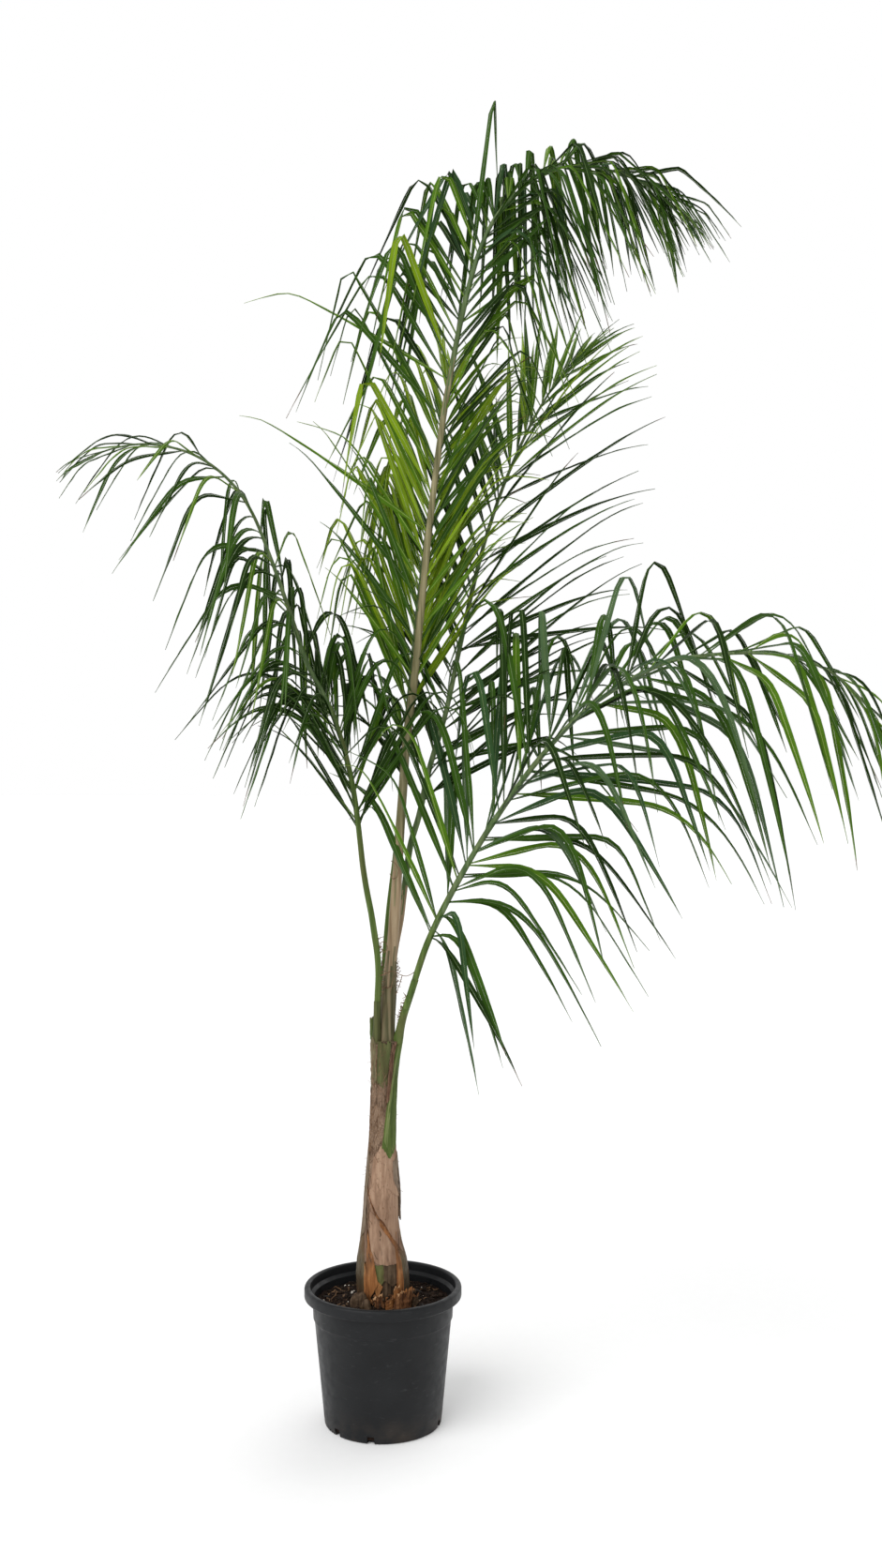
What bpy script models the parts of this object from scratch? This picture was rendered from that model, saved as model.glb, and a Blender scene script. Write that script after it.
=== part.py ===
"""Potted queen palm: a young feather palm with five fronds in a round nursery pot.

Metres, +Z up.  The pot's axis is X = Y = 0 and its flat underside is Z = 0.
The trunk stands on the soil; the petioles stand on the trunk's flat top.
"""
import math
from dataclasses import dataclass
from random import Random

import bmesh
import bpy
import numpy as np
from mathutils.bvhtree import BVHTree

GAP = 0.0003                 # clearance between pieces that touch
UP = np.array((0.0, 0.0, 1.0))

# Pot: radii and heights of its turned wall.
POT_HEIGHT = 0.280
POT_BASE_RADIUS = 0.119
POT_RIM_RADIUS = 0.160
POT_LIP_HEIGHT = 0.023
POT_BAND_HEIGHT = 0.042      # the slightly wider band under the lip
POT_BAND_RADIUS = 0.1437
POT_BAND_STEP = 0.0022
POT_WALL = 0.0032
POT_FLOOR = 0.006
POT_EDGE = 0.003             # rounding of the bottom edge and of the lip's edges
POT_LIP_ROUND = 0.006        # height over which the lip's outer edge rounds in
POT_LIP_CREST = 0.008        # the lip's crest lies this far inside its outer edge
POT_LIP_INSIDE = 0.013       # where the lip turns down into the wall
POT_SIDES = 32
NOTCH_WIDTH = 0.016          # drainage notches round the bottom edge
NOTCH_HEIGHT = 0.015
NOTCH_DEPTH = 0.011
NOTCH_TAPER = 0.85           # width at a notch's head as a share of its foot's
NOTCH_ANGLES = (-138, -100, -18, 21, 60, 99, 140, 181)

# Soil: it fills the pot to a little under the rim and is flat round the trunk.
SOIL_TOP = 0.250
SOIL_EDGE_DROP = 0.007
SOIL_FLAT_RADIUS = 0.075

# Trunk: height, centre in X, half width in X, half width in Y.
TRUNK_SIDES = 20
TRUNK_RINGS = (
    (SOIL_TOP + GAP, 0.000, 0.0450, 0.0450),
    (0.275, 0.000, 0.0480, 0.0470),
    (0.305, -0.001, 0.0490, 0.0475),
    (0.336, -0.002, 0.0465, 0.0450),
    (0.372, -0.004, 0.0390, 0.0390),
    (0.412, -0.004, 0.0345, 0.0350),
    (0.470, -0.002, 0.0325, 0.0325),
    (0.530, -0.002, 0.0275, 0.0280),
    (0.572, -0.002, 0.0235, 0.0245),
    (0.645, 0.000, 0.0225, 0.0235),
    (0.705, 0.002, 0.0235, 0.0240),
    (0.752, 0.004, 0.0265, 0.0255),
    (0.780, 0.006, 0.0300, 0.0270),
)
TRUNK_TOP = TRUNK_RINGS[-1][0]

# Leaf sheaths that wrap the trunk: middle direction in degrees (0 is +X, -90 is
# the front), spread in degrees, lowest and highest point, thickness.
SHEATHS = {
    "foot_sheath_left": (190, 105, SOIL_TOP + GAP, 0.425, 0.0045),
    "foot_sheath_right": (-10, 78, SOIL_TOP + GAP, 0.405, 0.0045),
    "foot_sheath_back": (83, 96, SOIL_TOP + GAP, 0.390, 0.0045),
    "green_sheath": (-20, 135, 0.552, 0.768, 0.0035),
}
STUB_SIDES = 8
STUB_SLANT = 0.5             # rise of a stub's cut top across it
SHEATH_GAP = 0.0022          # clear gap between the trunk and a sheath
SHEATH_ROWS = 6
SHEATH_STEP = 9              # degrees between a sheath's upright edges
SHEATH_EDGE = 0.35           # thickness at a sheath's side edges, as a share
SHEATH_PEAK = 0.45           # where across a sheath its top is highest
SHEATH_SLANT = 0.75          # how much lower its sides are, as a share of its height
SHEATH_POINT = 1.6           # how pointed its top is
SHEATH_TOP_THIN = 0.5        # thickness at its top, as a share

# Stubs of old leaves: foot, top, foot radius, top radius, and flattening.
STUBS = {
    "old_base_left": ((-0.0410, -0.052, SOIL_TOP + GAP), (-0.043, -0.055, 0.281), 0.0130, 0.0105, 0.9),
    "old_base_front": ((0.0330, -0.060, SOIL_TOP + GAP), (0.037, -0.0645, 0.283), 0.0120, 0.0070, 0.7),
    "cut_petiole": ((-0.0205, 0.004, TRUNK_TOP + GAP), (-0.0225, 0.004, 0.823), 0.0052, 0.0040, 0.9),
}

# Leaflets: width, thickness as a share of length, and the fan about the rib.
LEAFLET_WIDTH = 0.019
LEAFLET_THICKNESS = 0.0108
FAN_ROLLS = (0, 24, -20, 10, 38, -8, 16, -30)
TURN_SPREAD = 9              # degrees by which leaflets' angles to the rib differ
SAG = 0.2
FOLD_SPAN = 0.14             # share of a leaflet's length over which it folds
SPINE_STEPS = 20
BLADE_END = 0.995            # place on the rib of the last leaflets
LEAST_ROOT = 0.0045          # width of a leaflet where it leaves the rib
CLEARANCE = 0.0012           # space that each leaflet keeps to other pieces
NUDGES = (0, 9, -9, 18, -18, 27, -27, 38, -38)      # degrees that a leaflet may be turned
SHORTER = ((1.0, True), (1.0, False), (0.8, False), (0.6, False), (0.4, False))
TRIM = 0.12                  # share at its root where a leaflet may cross its neighbours
CUT_ROOM = 0.009             # leaflets keep this far from where a frond is split
TANGENT_STEP = 0.008
BEHIND = 1e-6
PETIOLE_SIDES = 8
RIB_SIDES = 3
RIB_STEP = 0.075


@dataclass
class Frond:
    """One frond: its rib's route, its widths, and the habit of its leaflets.

    `route` runs from the petiole's foot to the tip.  Keyed tables start each row
    with a share of the whole route (`half_width`, `face`) or of the leafy part
    (`left`, `right`).  A leaflet row gives length, angle to the rib, lift towards
    the upper face, the share of its length where it folds, and how far it hangs.
    `extra` lists single leaflets that stand out: a share of the leafy part, the side,
    and the same habit with the lift first.
    """
    name: str
    route: tuple
    half_width: tuple
    face: tuple
    leafy: float
    cuts: tuple
    pairs: int
    left: tuple
    right: tuple
    extra: tuple
    color: tuple
    seed: int


TALL = Frond(
    name="tall",
    route=((0.0085, -0.002, TRUNK_TOP), (0.011, -0.002, 0.84), (0.016, -0.001, 0.93),
           (0.022, 0.0, 1.00), (0.030, 0.0, 1.12), (0.047, 0.01, 1.366), (0.066, 0.02, 1.525),
           (0.083, 0.03, 1.707), (0.104, 0.04, 1.897), (0.132, 0.05, 2.097),
           (0.172, 0.06, 2.295), (0.212, 0.07, 2.416), (0.266, 0.08, 2.493),
           (0.351, 0.10, 2.554), (0.45, 0.13, 2.565), (0.547, 0.16, 2.54), (0.612, 0.18, 2.50)),
    half_width=((0, 0.0150), (0.05, 0.0140), (0.085, 0.0108), (0.17, 0.0092), (0.28, 0.0082),
                (0.36, 0.0072), (0.5, 0.0064), (0.7, 0.0052), (0.85, 0.0034), (1, 0.0018)),
    face=((0, 0, -1, 0), (0.6, 0, -1, 0.2), (0.82, 0.1, -0.35, 1), (1, 0.3, 0, 1)),
    leafy=0.335, cuts=(0.065, 0.325, 0.685), pairs=45, seed=11, color=(0.075, 0.16, 0.045),
    left=((0, 0.30, 34, 0, 0.85, 0.2), (0.15, 0.42, 32, 0, 0.85, 0.3), (0.28, 0.50, 36, 0, 0.64, 2.6),
          (0.42, 0.58, 46, 5, 0.50, 3.0), (0.58, 0.50, 44, 0, 0.38, 3.0),
          (0.75, 0.40, 50, 12, 0.22, 2.4), (0.93, 0.28, 36, 8, 0.3, 1.5),
          (1, 0.12, 12, 0, 0.8, 0.6)),
    right=((0, 0.30, 32, 0, 0.85, 0.2), (0.2, 0.38, 30, 0, 0.85, 0.3), (0.36, 0.42, 30, 5, 0.62, 2.4),
           (0.5, 0.44, 34, 5, 0.5, 3.0), (0.63, 0.43, 44, 5, 0.35, 2.8),
           (0.78, 0.40, 50, 12, 0.2, 2.4), (0.93, 0.28, 36, 8, 0.3, 1.5),
           (1, 0.12, 12, 0, 0.8, 0.6)),
    extra=((0.57, -1, 0, 7, 0.62, 0.67, 5.0), (0.68, -1, 0, 26, 0.32, 0.50, 2.6),
           (0.44, -1, 0, 68, 0.47, 0.80, 0.6), (0.22, -1, 5, 60, 0.45, 0.90, 0.3)))

LEFT = Frond(
    name="left",
    route=((-0.0120, -0.0135, TRUNK_TOP), (-0.010, -0.020, 0.86), (-0.008, -0.022, 0.933),
           (-0.020, -0.022, 1.027), (-0.037, -0.022, 1.122), (-0.059, -0.03, 1.299),
           (-0.096, -0.05, 1.437), (-0.145, -0.07, 1.536), (-0.172, -0.09, 1.62),
           (-0.204, -0.12, 1.719), (-0.243, -0.15, 1.821), (-0.287, -0.18, 1.883),
           (-0.347, -0.22, 1.922), (-0.42, -0.25, 1.935), (-0.48, -0.27, 1.925),
           (-0.53, -0.28, 1.905)),
    half_width=((0, 0.0058), (0.1, 0.0062), (0.3, 0.0055), (0.55, 0.0045), (0.8, 0.0030),
                (1, 0.0016)),
    face=((0, 0.2, -0.9, 0.2), (0.3, 0.5, -0.7, 0.3), (0.62, 0.6, -0.55, 0.55), (1, 0.1, -0.3, 1)),
    leafy=0.29, cuts=(0.28, 0.66), pairs=32, seed=12, color=(0.045, 0.13, 0.035),
    left=((0, 0.34, 28, -5, 0.85, 0.5), (0.15, 0.38, 34, -5, 0.60, 2.0),
          (0.32, 0.38, 44, -5, 0.35, 2.2), (0.5, 0.38, 54, -5, 0.3, 2.1), (0.65, 0.36, 50, -5, 0.3, 1.8),
          (0.85, 0.27, 36, -5, 0.4, 0.9), (1, 0.10, 12, 0, 0.8, 0.6)),
    right=((0, 0.46, 34, 0, 0.72, 2.8), (0.15, 0.42, 40, 0, 0.60, 3.0), (0.3, 0.36, 46, -5, 0.4, 2.8),
           (0.45, 0.34, 50, -10, 0.2, 2.6), (0.6, 0.34, 46, -10, 0.15, 2.4), (0.85, 0.24, 34, -5, 0.3, 1.4),
           (1, 0.10, 12, 0, 0.8, 0.6)),
    extra=())

RIGHT = Frond(
    name="right",
    route=((0.0315, -0.0060, TRUNK_TOP), (0.039, -0.020, 0.82), (0.057, -0.050, 0.879),
           (0.093, -0.060, 0.989), (0.152, -0.08, 1.11), (0.22, -0.10, 1.226),
           (0.304, -0.13, 1.346), (0.404, -0.16, 1.452), (0.528, -0.20, 1.528),
           (0.622, -0.24, 1.547), (0.733, -0.28, 1.546), (0.817, -0.31, 1.519),
           (0.875, -0.34, 1.465), (0.915, -0.36, 1.395)),
    half_width=((0, 0.0058), (0.15, 0.0062), (0.35, 0.0056), (0.6, 0.0044), (0.85, 0.0028),
                (1, 0.0016)),
    face=((0, 0, -0.9, 0.1), (0.12, -0.3, -0.7, 0.3), (0.55, -0.3, -0.5, 0.8), (1, 0.3, 0, 1)),
    leafy=0.16, cuts=(0.15, 0.62), pairs=38, seed=13, color=(0.05, 0.15, 0.05),
    left=((0, 0.42, 48, 0, 0.75, 0.8), (0.2, 0.54, 48, 0, 0.7, 1.6), (0.35, 0.56, 44, 0, 0.6, 2.3),
          (0.6, 0.44, 44, 5, 0.4, 2.3), (0.85, 0.36, 40, 0, 0.25, 2.1),
          (1, 0.16, 12, 0, 0.6, 0.8)),
    right=((0, 0.38, 56, 0, 0.15, 2.4), (0.12, 0.50, 52, 0, 0.45, 1.8), (0.3, 0.64, 54, 5, 0.66, 1.6),
           (0.6, 0.60, 52, 5, 0.5, 2.2), (0.85, 0.40, 40, -5, 0.3, 2.1),
           (1, 0.16, 12, 0, 0.6, 0.8)),
    extra=((0.02, 1, 0, 60, 0.34, 0.12, 4.0),))

BACK = Frond(
    name="back",
    route=((0.0120, 0.0190, TRUNK_TOP), (0.017, 0.024, 0.88), (0.025, 0.027, 0.96),
           (0.037, 0.030, 1.029), (0.054, 0.035, 1.163), (0.073, 0.04, 1.231),
           (0.094, 0.05, 1.327), (0.127, 0.07, 1.438), (0.154, 0.10, 1.564),
           (0.186, 0.14, 1.708), (0.218, 0.18, 1.828), (0.263, 0.23, 1.956),
           (0.323, 0.30, 2.088), (0.385, 0.36, 2.19), (0.433, 0.42, 2.249)),
    half_width=((0, 0.0050), (0.2, 0.0062), (0.5, 0.0048), (0.8, 0.0032), (1, 0.0016)),
    face=((0, 0, -1, 0), (1, -0.4, -0.8, 0.6)),
    leafy=0.29, cuts=(0.28, 0.66), pairs=26, seed=14, color=(0.035, 0.11, 0.04),
    left=((0, 0.34, 40, 0, 0.6, 1.0), (0.5, 0.44, 38, 0, 0.85, 0.2), (0.72, 0.38, 26, 0, 0.85, 0.1),
          (0.9, 0.26, 18, 0, 0.85, 0.1), (1, 0.13, 10, 0, 0.9, 0.1)),
    right=((0, 0.38, 42, 0, 0.7, 0.8), (0.2, 0.48, 46, 0, 0.85, 0.3), (0.5, 0.44, 42, 0, 0.9, 0.1),
           (0.72, 0.36, 30, 0, 0.9, 0.1), (0.9, 0.24, 20, 0, 0.9, 0.1), (1, 0.13, 10, 0, 0.9, 0.1)),
    extra=((0.30, 1, 0, 72, 0.44, 0.90, 0.2), (0.08, 1, 0, 62, 0.50, 0.55, 1.3),
           (0.16, 1, 10, 34, 0.52, 0.90, 0.2)))

YOUNG = Frond(
    name="young",
    route=((-0.0040, 0.0195, TRUNK_TOP), (-0.002, 0.026, 0.88), (0.010, 0.032, 1.03),
           (0.027, 0.040, 1.174), (0.046, 0.06, 1.403), (0.062, 0.08, 1.577),
           (0.080, 0.12, 1.753), (0.101, 0.17, 1.915), (0.125, 0.23, 2.063), (0.146, 0.30, 2.177)),
    half_width=((0, 0.0042), (0.3, 0.0050), (0.7, 0.0036), (1, 0.0016)),
    face=((0, 0, -1, 0), (1, 0, -0.9, 0.4)),
    leafy=0.45, cuts=(0.44,), pairs=19, seed=15, color=(0.19, 0.28, 0.04),
    left=((0, 0.52, 22, 0, 0.72, 2.8), (0.25, 0.48, 26, 0, 0.66, 3.0), (0.5, 0.42, 28, 0, 0.60, 3.0),
          (0.7, 0.34, 26, 0, 0.66, 2.0),
          (0.85, 0.28, 22, 0, 0.8, 0.6), (1, 0.14, 12, 0, 0.9, 0.3)),
    right=((0, 0.40, 22, 0, 0.8, 0.6), (0.5, 0.42, 26, 0, 0.8, 0.6), (0.85, 0.28, 24, 0, 0.8, 0.6),
           (1, 0.14, 12, 0, 0.9, 0.3)),
    extra=())

FRONDS = (TALL, LEFT, RIGHT, BACK, YOUNG)
STRETCH_NAMES = {
    "tall": ("stem_sheath", "petiole_tall", "frond_tall_lower", "frond_tall_arch"),
    "left": ("petiole_left", "frond_left_lower", "frond_left_tip"),
    "right": ("petiole_right", "frond_right_lower", "frond_right_tip"),
    "back": ("petiole_back", "frond_back_lower", "frond_back_tip"),
    "young": ("petiole_young", "frond_young"),
}


# ---------------------------------------------------------------- plain helpers

def unit(v):
    return v / np.linalg.norm(v)


def eased(share):
    """Smooth step from 0 to 1."""
    share = min(1.0, max(0.0, share))
    return share * share * (3 - 2 * share)


def keyed(table, place):
    """Values of a keyed table at a place, eased between its rows."""
    if place <= table[0][0]:
        return np.array(table[0][1:], float)
    for low, high in zip(table, table[1:]):
        if place <= high[0]:
            share = eased((place - low[0]) / (high[0] - low[0]))
            return np.array(low[1:], float) * (1 - share) + np.array(high[1:], float) * share
    return np.array(table[-1][1:], float)


def smooth_path(points, steps=24):
    """A Catmull-Rom curve through the points, as a dense array."""
    pts = np.array(points, float)
    ends = np.vstack([2 * pts[0] - pts[1], pts, 2 * pts[-1] - pts[-2]])
    out = []
    for a, b, c, d in zip(ends, ends[1:], ends[2:], ends[3:]):
        for i in range(steps):
            u = i / steps
            out.append(0.5 * (2 * b + (c - a) * u + (2 * a - 5 * b + 4 * c - d) * u * u
                              + (3 * b - a - 3 * c + d) * u ** 3))
    out.append(pts[-1])
    return np.array(out)


def material(name, color, roughness):
    """A Principled material of one colour."""
    mat = bpy.data.materials.new(name)
    mat.use_nodes = True
    shader = mat.node_tree.nodes["Principled BSDF"]
    shader.inputs["Base Color"].default_value = (*color, 1)
    shader.inputs["Roughness"].default_value = roughness
    shader.inputs["Metallic"].default_value = 0.0
    return mat


def add_object(name, verts, faces, mat, collection=None):
    """A mesh object from points and faces, with its faces turned outwards."""
    mesh = bpy.data.meshes.new(name)
    mesh.from_pydata([tuple(map(float, v)) for v in verts], [], faces)
    bm = bmesh.new()
    bm.from_mesh(mesh)
    bmesh.ops.recalc_face_normals(bm, faces=bm.faces)
    bm.to_mesh(mesh)
    bm.free()
    mesh.materials.append(mat)
    obj = bpy.data.objects.new(name, mesh)
    (collection or bpy.context.scene.collection).objects.link(obj)
    return obj


def lofted(rings, tip=None):
    """Points and faces of a closed body through rings of points, capped or pointed."""
    sides = len(rings[0])
    verts = [p for ring in rings for p in ring]
    faces = [tuple(reversed(range(sides)))]
    for r in range(len(rings) - 1):
        for k in range(sides):
            a, b = r * sides + k, r * sides + (k + 1) % sides
            faces.append((a, b, b + sides, a + sides))
    last = (len(rings) - 1) * sides
    if tip is None:
        faces.append(tuple(range(last, last + sides)))
    else:
        verts.append(tip)
        faces += [(last + k, last + (k + 1) % sides, len(verts) - 1) for k in range(sides)]
    return verts, faces


def turned(profile, sides):
    """Points and faces of a profile (radius, height) turned round Z, poles at its ends."""
    verts = [(0, 0, profile[0][1])]
    for radius, height in profile[1:-1]:
        for k in range(sides):
            angle = 2 * math.pi * k / sides
            verts.append((radius * math.cos(angle), radius * math.sin(angle), height))
    verts.append((0, 0, profile[-1][1]))
    faces = []
    count = len(profile) - 2
    for k in range(sides):
        nxt = (k + 1) % sides
        faces.append((0, 1 + nxt, 1 + k))
        for r in range(count - 1):
            low, high = 1 + r * sides, 1 + (r + 1) * sides
            faces.append((low + k, low + nxt, high + nxt, high + k))
        top = 1 + (count - 1) * sides
        faces.append((top + k, top + nxt, len(verts) - 1))
    return verts, faces


# ------------------------------------------------------------------ pot and soil

def pot_outer_radius(height):
    """Outer radius of the tapered wall below the band."""
    top = POT_HEIGHT - POT_LIP_HEIGHT - POT_BAND_HEIGHT
    top_radius = POT_BAND_RADIUS - 2 * POT_BAND_STEP
    return POT_BASE_RADIUS + (top_radius - POT_BASE_RADIUS) * height / top


def pot_inner_radius(height):
    """Inner radius of the wall from the floor to the lip."""
    band_inside = POT_BAND_RADIUS - POT_WALL
    share = (height - POT_FLOOR) / (POT_HEIGHT - POT_LIP_HEIGHT - POT_FLOOR)
    return (POT_BASE_RADIUS - POT_WALL) + (band_inside - POT_BASE_RADIUS + POT_WALL) * share


def make_pot(mat):
    lip_foot = POT_HEIGHT - POT_LIP_HEIGHT
    band_foot = lip_foot - POT_BAND_HEIGHT
    rim, band = POT_RIM_RADIUS, POT_BAND_RADIUS
    profile = [
        (0, 0), (POT_BASE_RADIUS - POT_EDGE, 0), (POT_BASE_RADIUS, POT_EDGE),
        (pot_outer_radius(band_foot), band_foot),
        (band - POT_BAND_STEP, band_foot + 0.001), (band, lip_foot),
        (rim - POT_EDGE, lip_foot + 0.0005), (rim, lip_foot + POT_EDGE),
        (rim, POT_HEIGHT - POT_LIP_ROUND), (rim - POT_EDGE, POT_HEIGHT - 0.001),
        (rim - POT_LIP_CREST, POT_HEIGHT), (rim - POT_LIP_INSIDE, POT_HEIGHT - POT_EDGE),
        (pot_inner_radius(lip_foot), lip_foot),
        (pot_inner_radius(POT_FLOOR), POT_FLOOR), (0, POT_FLOOR),
    ]
    pot = add_object("pot", *turned(profile, POT_SIDES), mat)
    for i, angle in enumerate(NOTCH_ANGLES):
        cut_notch(pot, i, math.radians(angle))
    apply_modifiers(pot)
    return pot


def cut_notch(pot, index, angle):
    """A square drainage notch in the pot's bottom edge."""
    reach = POT_BASE_RADIUS + 0.01
    outward = np.array((math.cos(angle), math.sin(angle), 0))
    across = np.array((-outward[1], outward[0], 0)) * NOTCH_WIDTH / 2
    rings = []
    for radius in (reach - 0.01 - NOTCH_DEPTH, reach):
        foot = outward * radius - UP * 0.01
        head = outward * radius + UP * NOTCH_HEIGHT
        rings.append([foot - across, foot + across,
                      head + across * NOTCH_TAPER, head - across * NOTCH_TAPER])
    cutter = add_object(f"notch_cutter_{index}", *lofted(rings), pot.data.materials[0])
    cutter.hide_render = True
    cutter.display_type = "WIRE"
    cut = pot.modifiers.new(f"notch_{index}", "BOOLEAN")
    cut.operation = "DIFFERENCE"
    cut.object = cutter


def make_soil(mat):
    edge = SOIL_TOP - SOIL_EDGE_DROP
    foot = POT_FLOOR + GAP
    profile = [
        (0, foot), (pot_inner_radius(foot) - 2 * GAP, foot),
        (pot_inner_radius(edge) - 2 * GAP, edge),
        (SOIL_FLAT_RADIUS, SOIL_TOP), (0, SOIL_TOP),
    ]
    return add_object("soil", *turned(profile, POT_SIDES), mat)


# ------------------------------------------------------- trunk, sheaths and stubs

def trunk_point(height, angle, outwards=0.0):
    """A point on the trunk's surface, or a little outside it."""
    heights = [ring[0] for ring in TRUNK_RINGS]
    x, half_x, half_y = (np.interp(height, heights, [ring[k] for ring in TRUNK_RINGS])
                         for k in (1, 2, 3))
    return (x + (half_x + outwards) * math.cos(angle), (half_y + outwards) * math.sin(angle), height)


def trunk_angle(side):
    return 2 * math.pi * side / TRUNK_SIDES


def make_trunk(mat):
    rings = [[trunk_point(ring[0], trunk_angle(k)) for k in range(TRUNK_SIDES)]
             for ring in TRUNK_RINGS]
    return add_object("trunk", *lofted(rings), mat)


def make_sheath(name, mat):
    """A curved plate round one side of the trunk, with a slanting pointed top."""
    middle, spread, low, high, thick = SHEATHS[name]
    columns = round(spread / SHEATH_STEP)
    rings = []
    for side in range(columns + 1):
        across = side / columns
        fall = SHEATH_SLANT * abs(2 * (across - SHEATH_PEAK)) ** SHEATH_POINT
        top = high - (high - low) * fall
        levels = np.linspace(low, top, SHEATH_ROWS + 1)
        thins = np.linspace(1, SHEATH_TOP_THIN, SHEATH_ROWS + 1)
        angle = math.radians(middle + spread * (across - 0.5))
        edge = SHEATH_EDGE if side in (0, columns) else 1
        inner = [trunk_point(z, angle, SHEATH_GAP) for z in levels]
        outer = [trunk_point(z, angle, SHEATH_GAP + thick * edge * thin)
                 for z, thin in zip(levels, thins)]
        rings.append(inner + outer[::-1])
    return add_object(name, *lofted(rings), mat)


def make_stub(name, mat):
    """A short tapering stub with a slanting top."""
    foot, top, foot_radius, top_radius, flat = STUBS[name]
    rings = []
    for centre, radius, slant in ((foot, foot_radius, 0), (top, top_radius, STUB_SLANT)):
        ring = []
        for k in range(STUB_SIDES):
            angle = 2 * math.pi * k / STUB_SIDES
            x, y = radius * math.cos(angle), radius * flat * math.sin(angle)
            ring.append((centre[0] + x, centre[1] + y, centre[2] + slant * x))
        rings.append(ring)
    return add_object(name, *lofted(rings), mat)


# -------------------------------------------------------------------- the fronds

class Rib:
    """A frond's rib as a curve measured by its length."""

    def __init__(self, frond):
        self.frond = frond
        self.pts = smooth_path(frond.route)
        gaps = np.linalg.norm(np.diff(self.pts, axis=0), axis=1)
        self.along = np.concatenate([[0], np.cumsum(gaps)])
        self.length = self.along[-1]

    def at(self, place):
        where = place * self.length
        return np.array([np.interp(where, self.along, self.pts[:, k]) for k in range(3)])

    def frame(self, place):
        """Direction, side and upper-face direction of the rib."""
        ahead, behind = min(1, place + TANGENT_STEP), max(0, place - TANGENT_STEP)
        tangent = unit(self.at(ahead) - self.at(behind))
        side = unit(np.cross(tangent, keyed(self.frond.face, place)))
        return tangent, side, np.cross(side, tangent)

    def ring(self, place, sides, level=False):
        """Points round the rib; a level ring is cut flat for standing on the trunk."""
        half = keyed(self.frond.half_width, place)[0]
        tangent, side, up = self.frame(place)
        if level:
            side, up = np.array((1.0, 0, 0)), np.array((0, 1.0, 0))
            if np.dot(np.cross(side, up), tangent) > 0:
                up = -up
        return [self.at(place) + half * (math.cos(a) * side + math.sin(a) * up)
                for a in (2 * math.pi * k / sides for k in range(sides))]


def rib_stretch(rib, start, end):
    """Points and faces of the rib between two places, a clear gap short of each."""
    margin = 0.5 * GAP / rib.length
    first, last = start + margin, end - margin
    count = max(2, round((last - first) * rib.length / RIB_STEP) + 1)
    places = [first + (last - first) * i / (count - 1) for i in range(count)]
    sides = RIB_SIDES if end > rib.frond.leafy else PETIOLE_SIDES
    rings = [rib.ring(place, sides) for place in places]
    if start == 0:
        foot = [p + UP * (TRUNK_TOP + GAP - p[2]) for p in rib.ring(0, sides, level=True)]
        rings[0] = aligned(foot, rings[1])
    return lofted(rings)


def aligned(ring, other):
    """The ring's points started where they lie nearest to the other ring's."""
    def twist(shift):
        return sum(np.linalg.norm(ring[(k + shift) % len(ring)][:2] - other[k][:2])
                   for k in range(len(ring)))
    best = min(range(len(ring)), key=twist)
    return ring[best:] + ring[:best]


def blade_place(frond, u):
    """The place on the rib of a share of its leafy part."""
    return frond.leafy + (BLADE_END - frond.leafy) * u


def leaflet_habits(frond):
    """Each leaflet of a frond: its root, its first direction and its habit."""
    rng = Random(frond.seed)
    habits = []
    for side, table in ((-1, frond.left), (1, frond.right)):
        for i in range(frond.pairs):
            u = (i + 0.5 + rng.uniform(-0.3, 0.3)) / frond.pairs
            length, turn, lift, fold_at, hang = keyed(table, u)
            fan = FAN_ROLLS[(i + (side > 0) * 3) % len(FAN_ROLLS)]
            habits.append({
                "place": blade_place(frond, u),
                "side": side,
                "roll": lift + fan + rng.uniform(-7, 7),
                "turn": turn + rng.uniform(-TURN_SPREAD, TURN_SPREAD),
                "length": length * rng.uniform(0.86, 1.08),
                "fold_at": min(0.92, fold_at + rng.uniform(-0.12, 0.12)),
                "hang": hang * rng.uniform(0.55, 1.3),
                "twist": rng.uniform(-0.9, 0.9),
            })
    for u, side, lift, turn, length, fold_at, hang in frond.extra:
        habits.insert(0, {"place": blade_place(frond, u), "side": side, "roll": lift, "turn": turn,
                          "length": length, "fold_at": fold_at, "hang": hang, "twist": 0.2})
    return habits


def leaflet_spine(rib, habit, nudge=0.0, shorter=1.0):
    """Points along a leaflet: out along its aim, then over its fold and down."""
    tangent, side, up = rib.frame(habit["place"])
    roll = math.radians(habit["roll"] + nudge)
    turn = math.radians(habit["turn"] + 0.3 * abs(nudge))
    away = habit["side"] * math.cos(roll) * side + math.sin(roll) * up
    aim = unit(math.cos(turn) * tangent + math.sin(turn) * away)
    length = habit["length"] * shorter
    pts = [rib.at(habit["place"])]
    for i in range(SPINE_STEPS):
        s = (i + 0.5) / SPINE_STEPS
        over = eased((s - habit["fold_at"]) / FOLD_SPAN + 0.5)
        way = unit(aim - (SAG * s * s + habit["hang"] * over) * UP)
        pts.append(pts[-1] + way * length / SPINE_STEPS)
    return np.array(pts), aim, tangent


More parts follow.
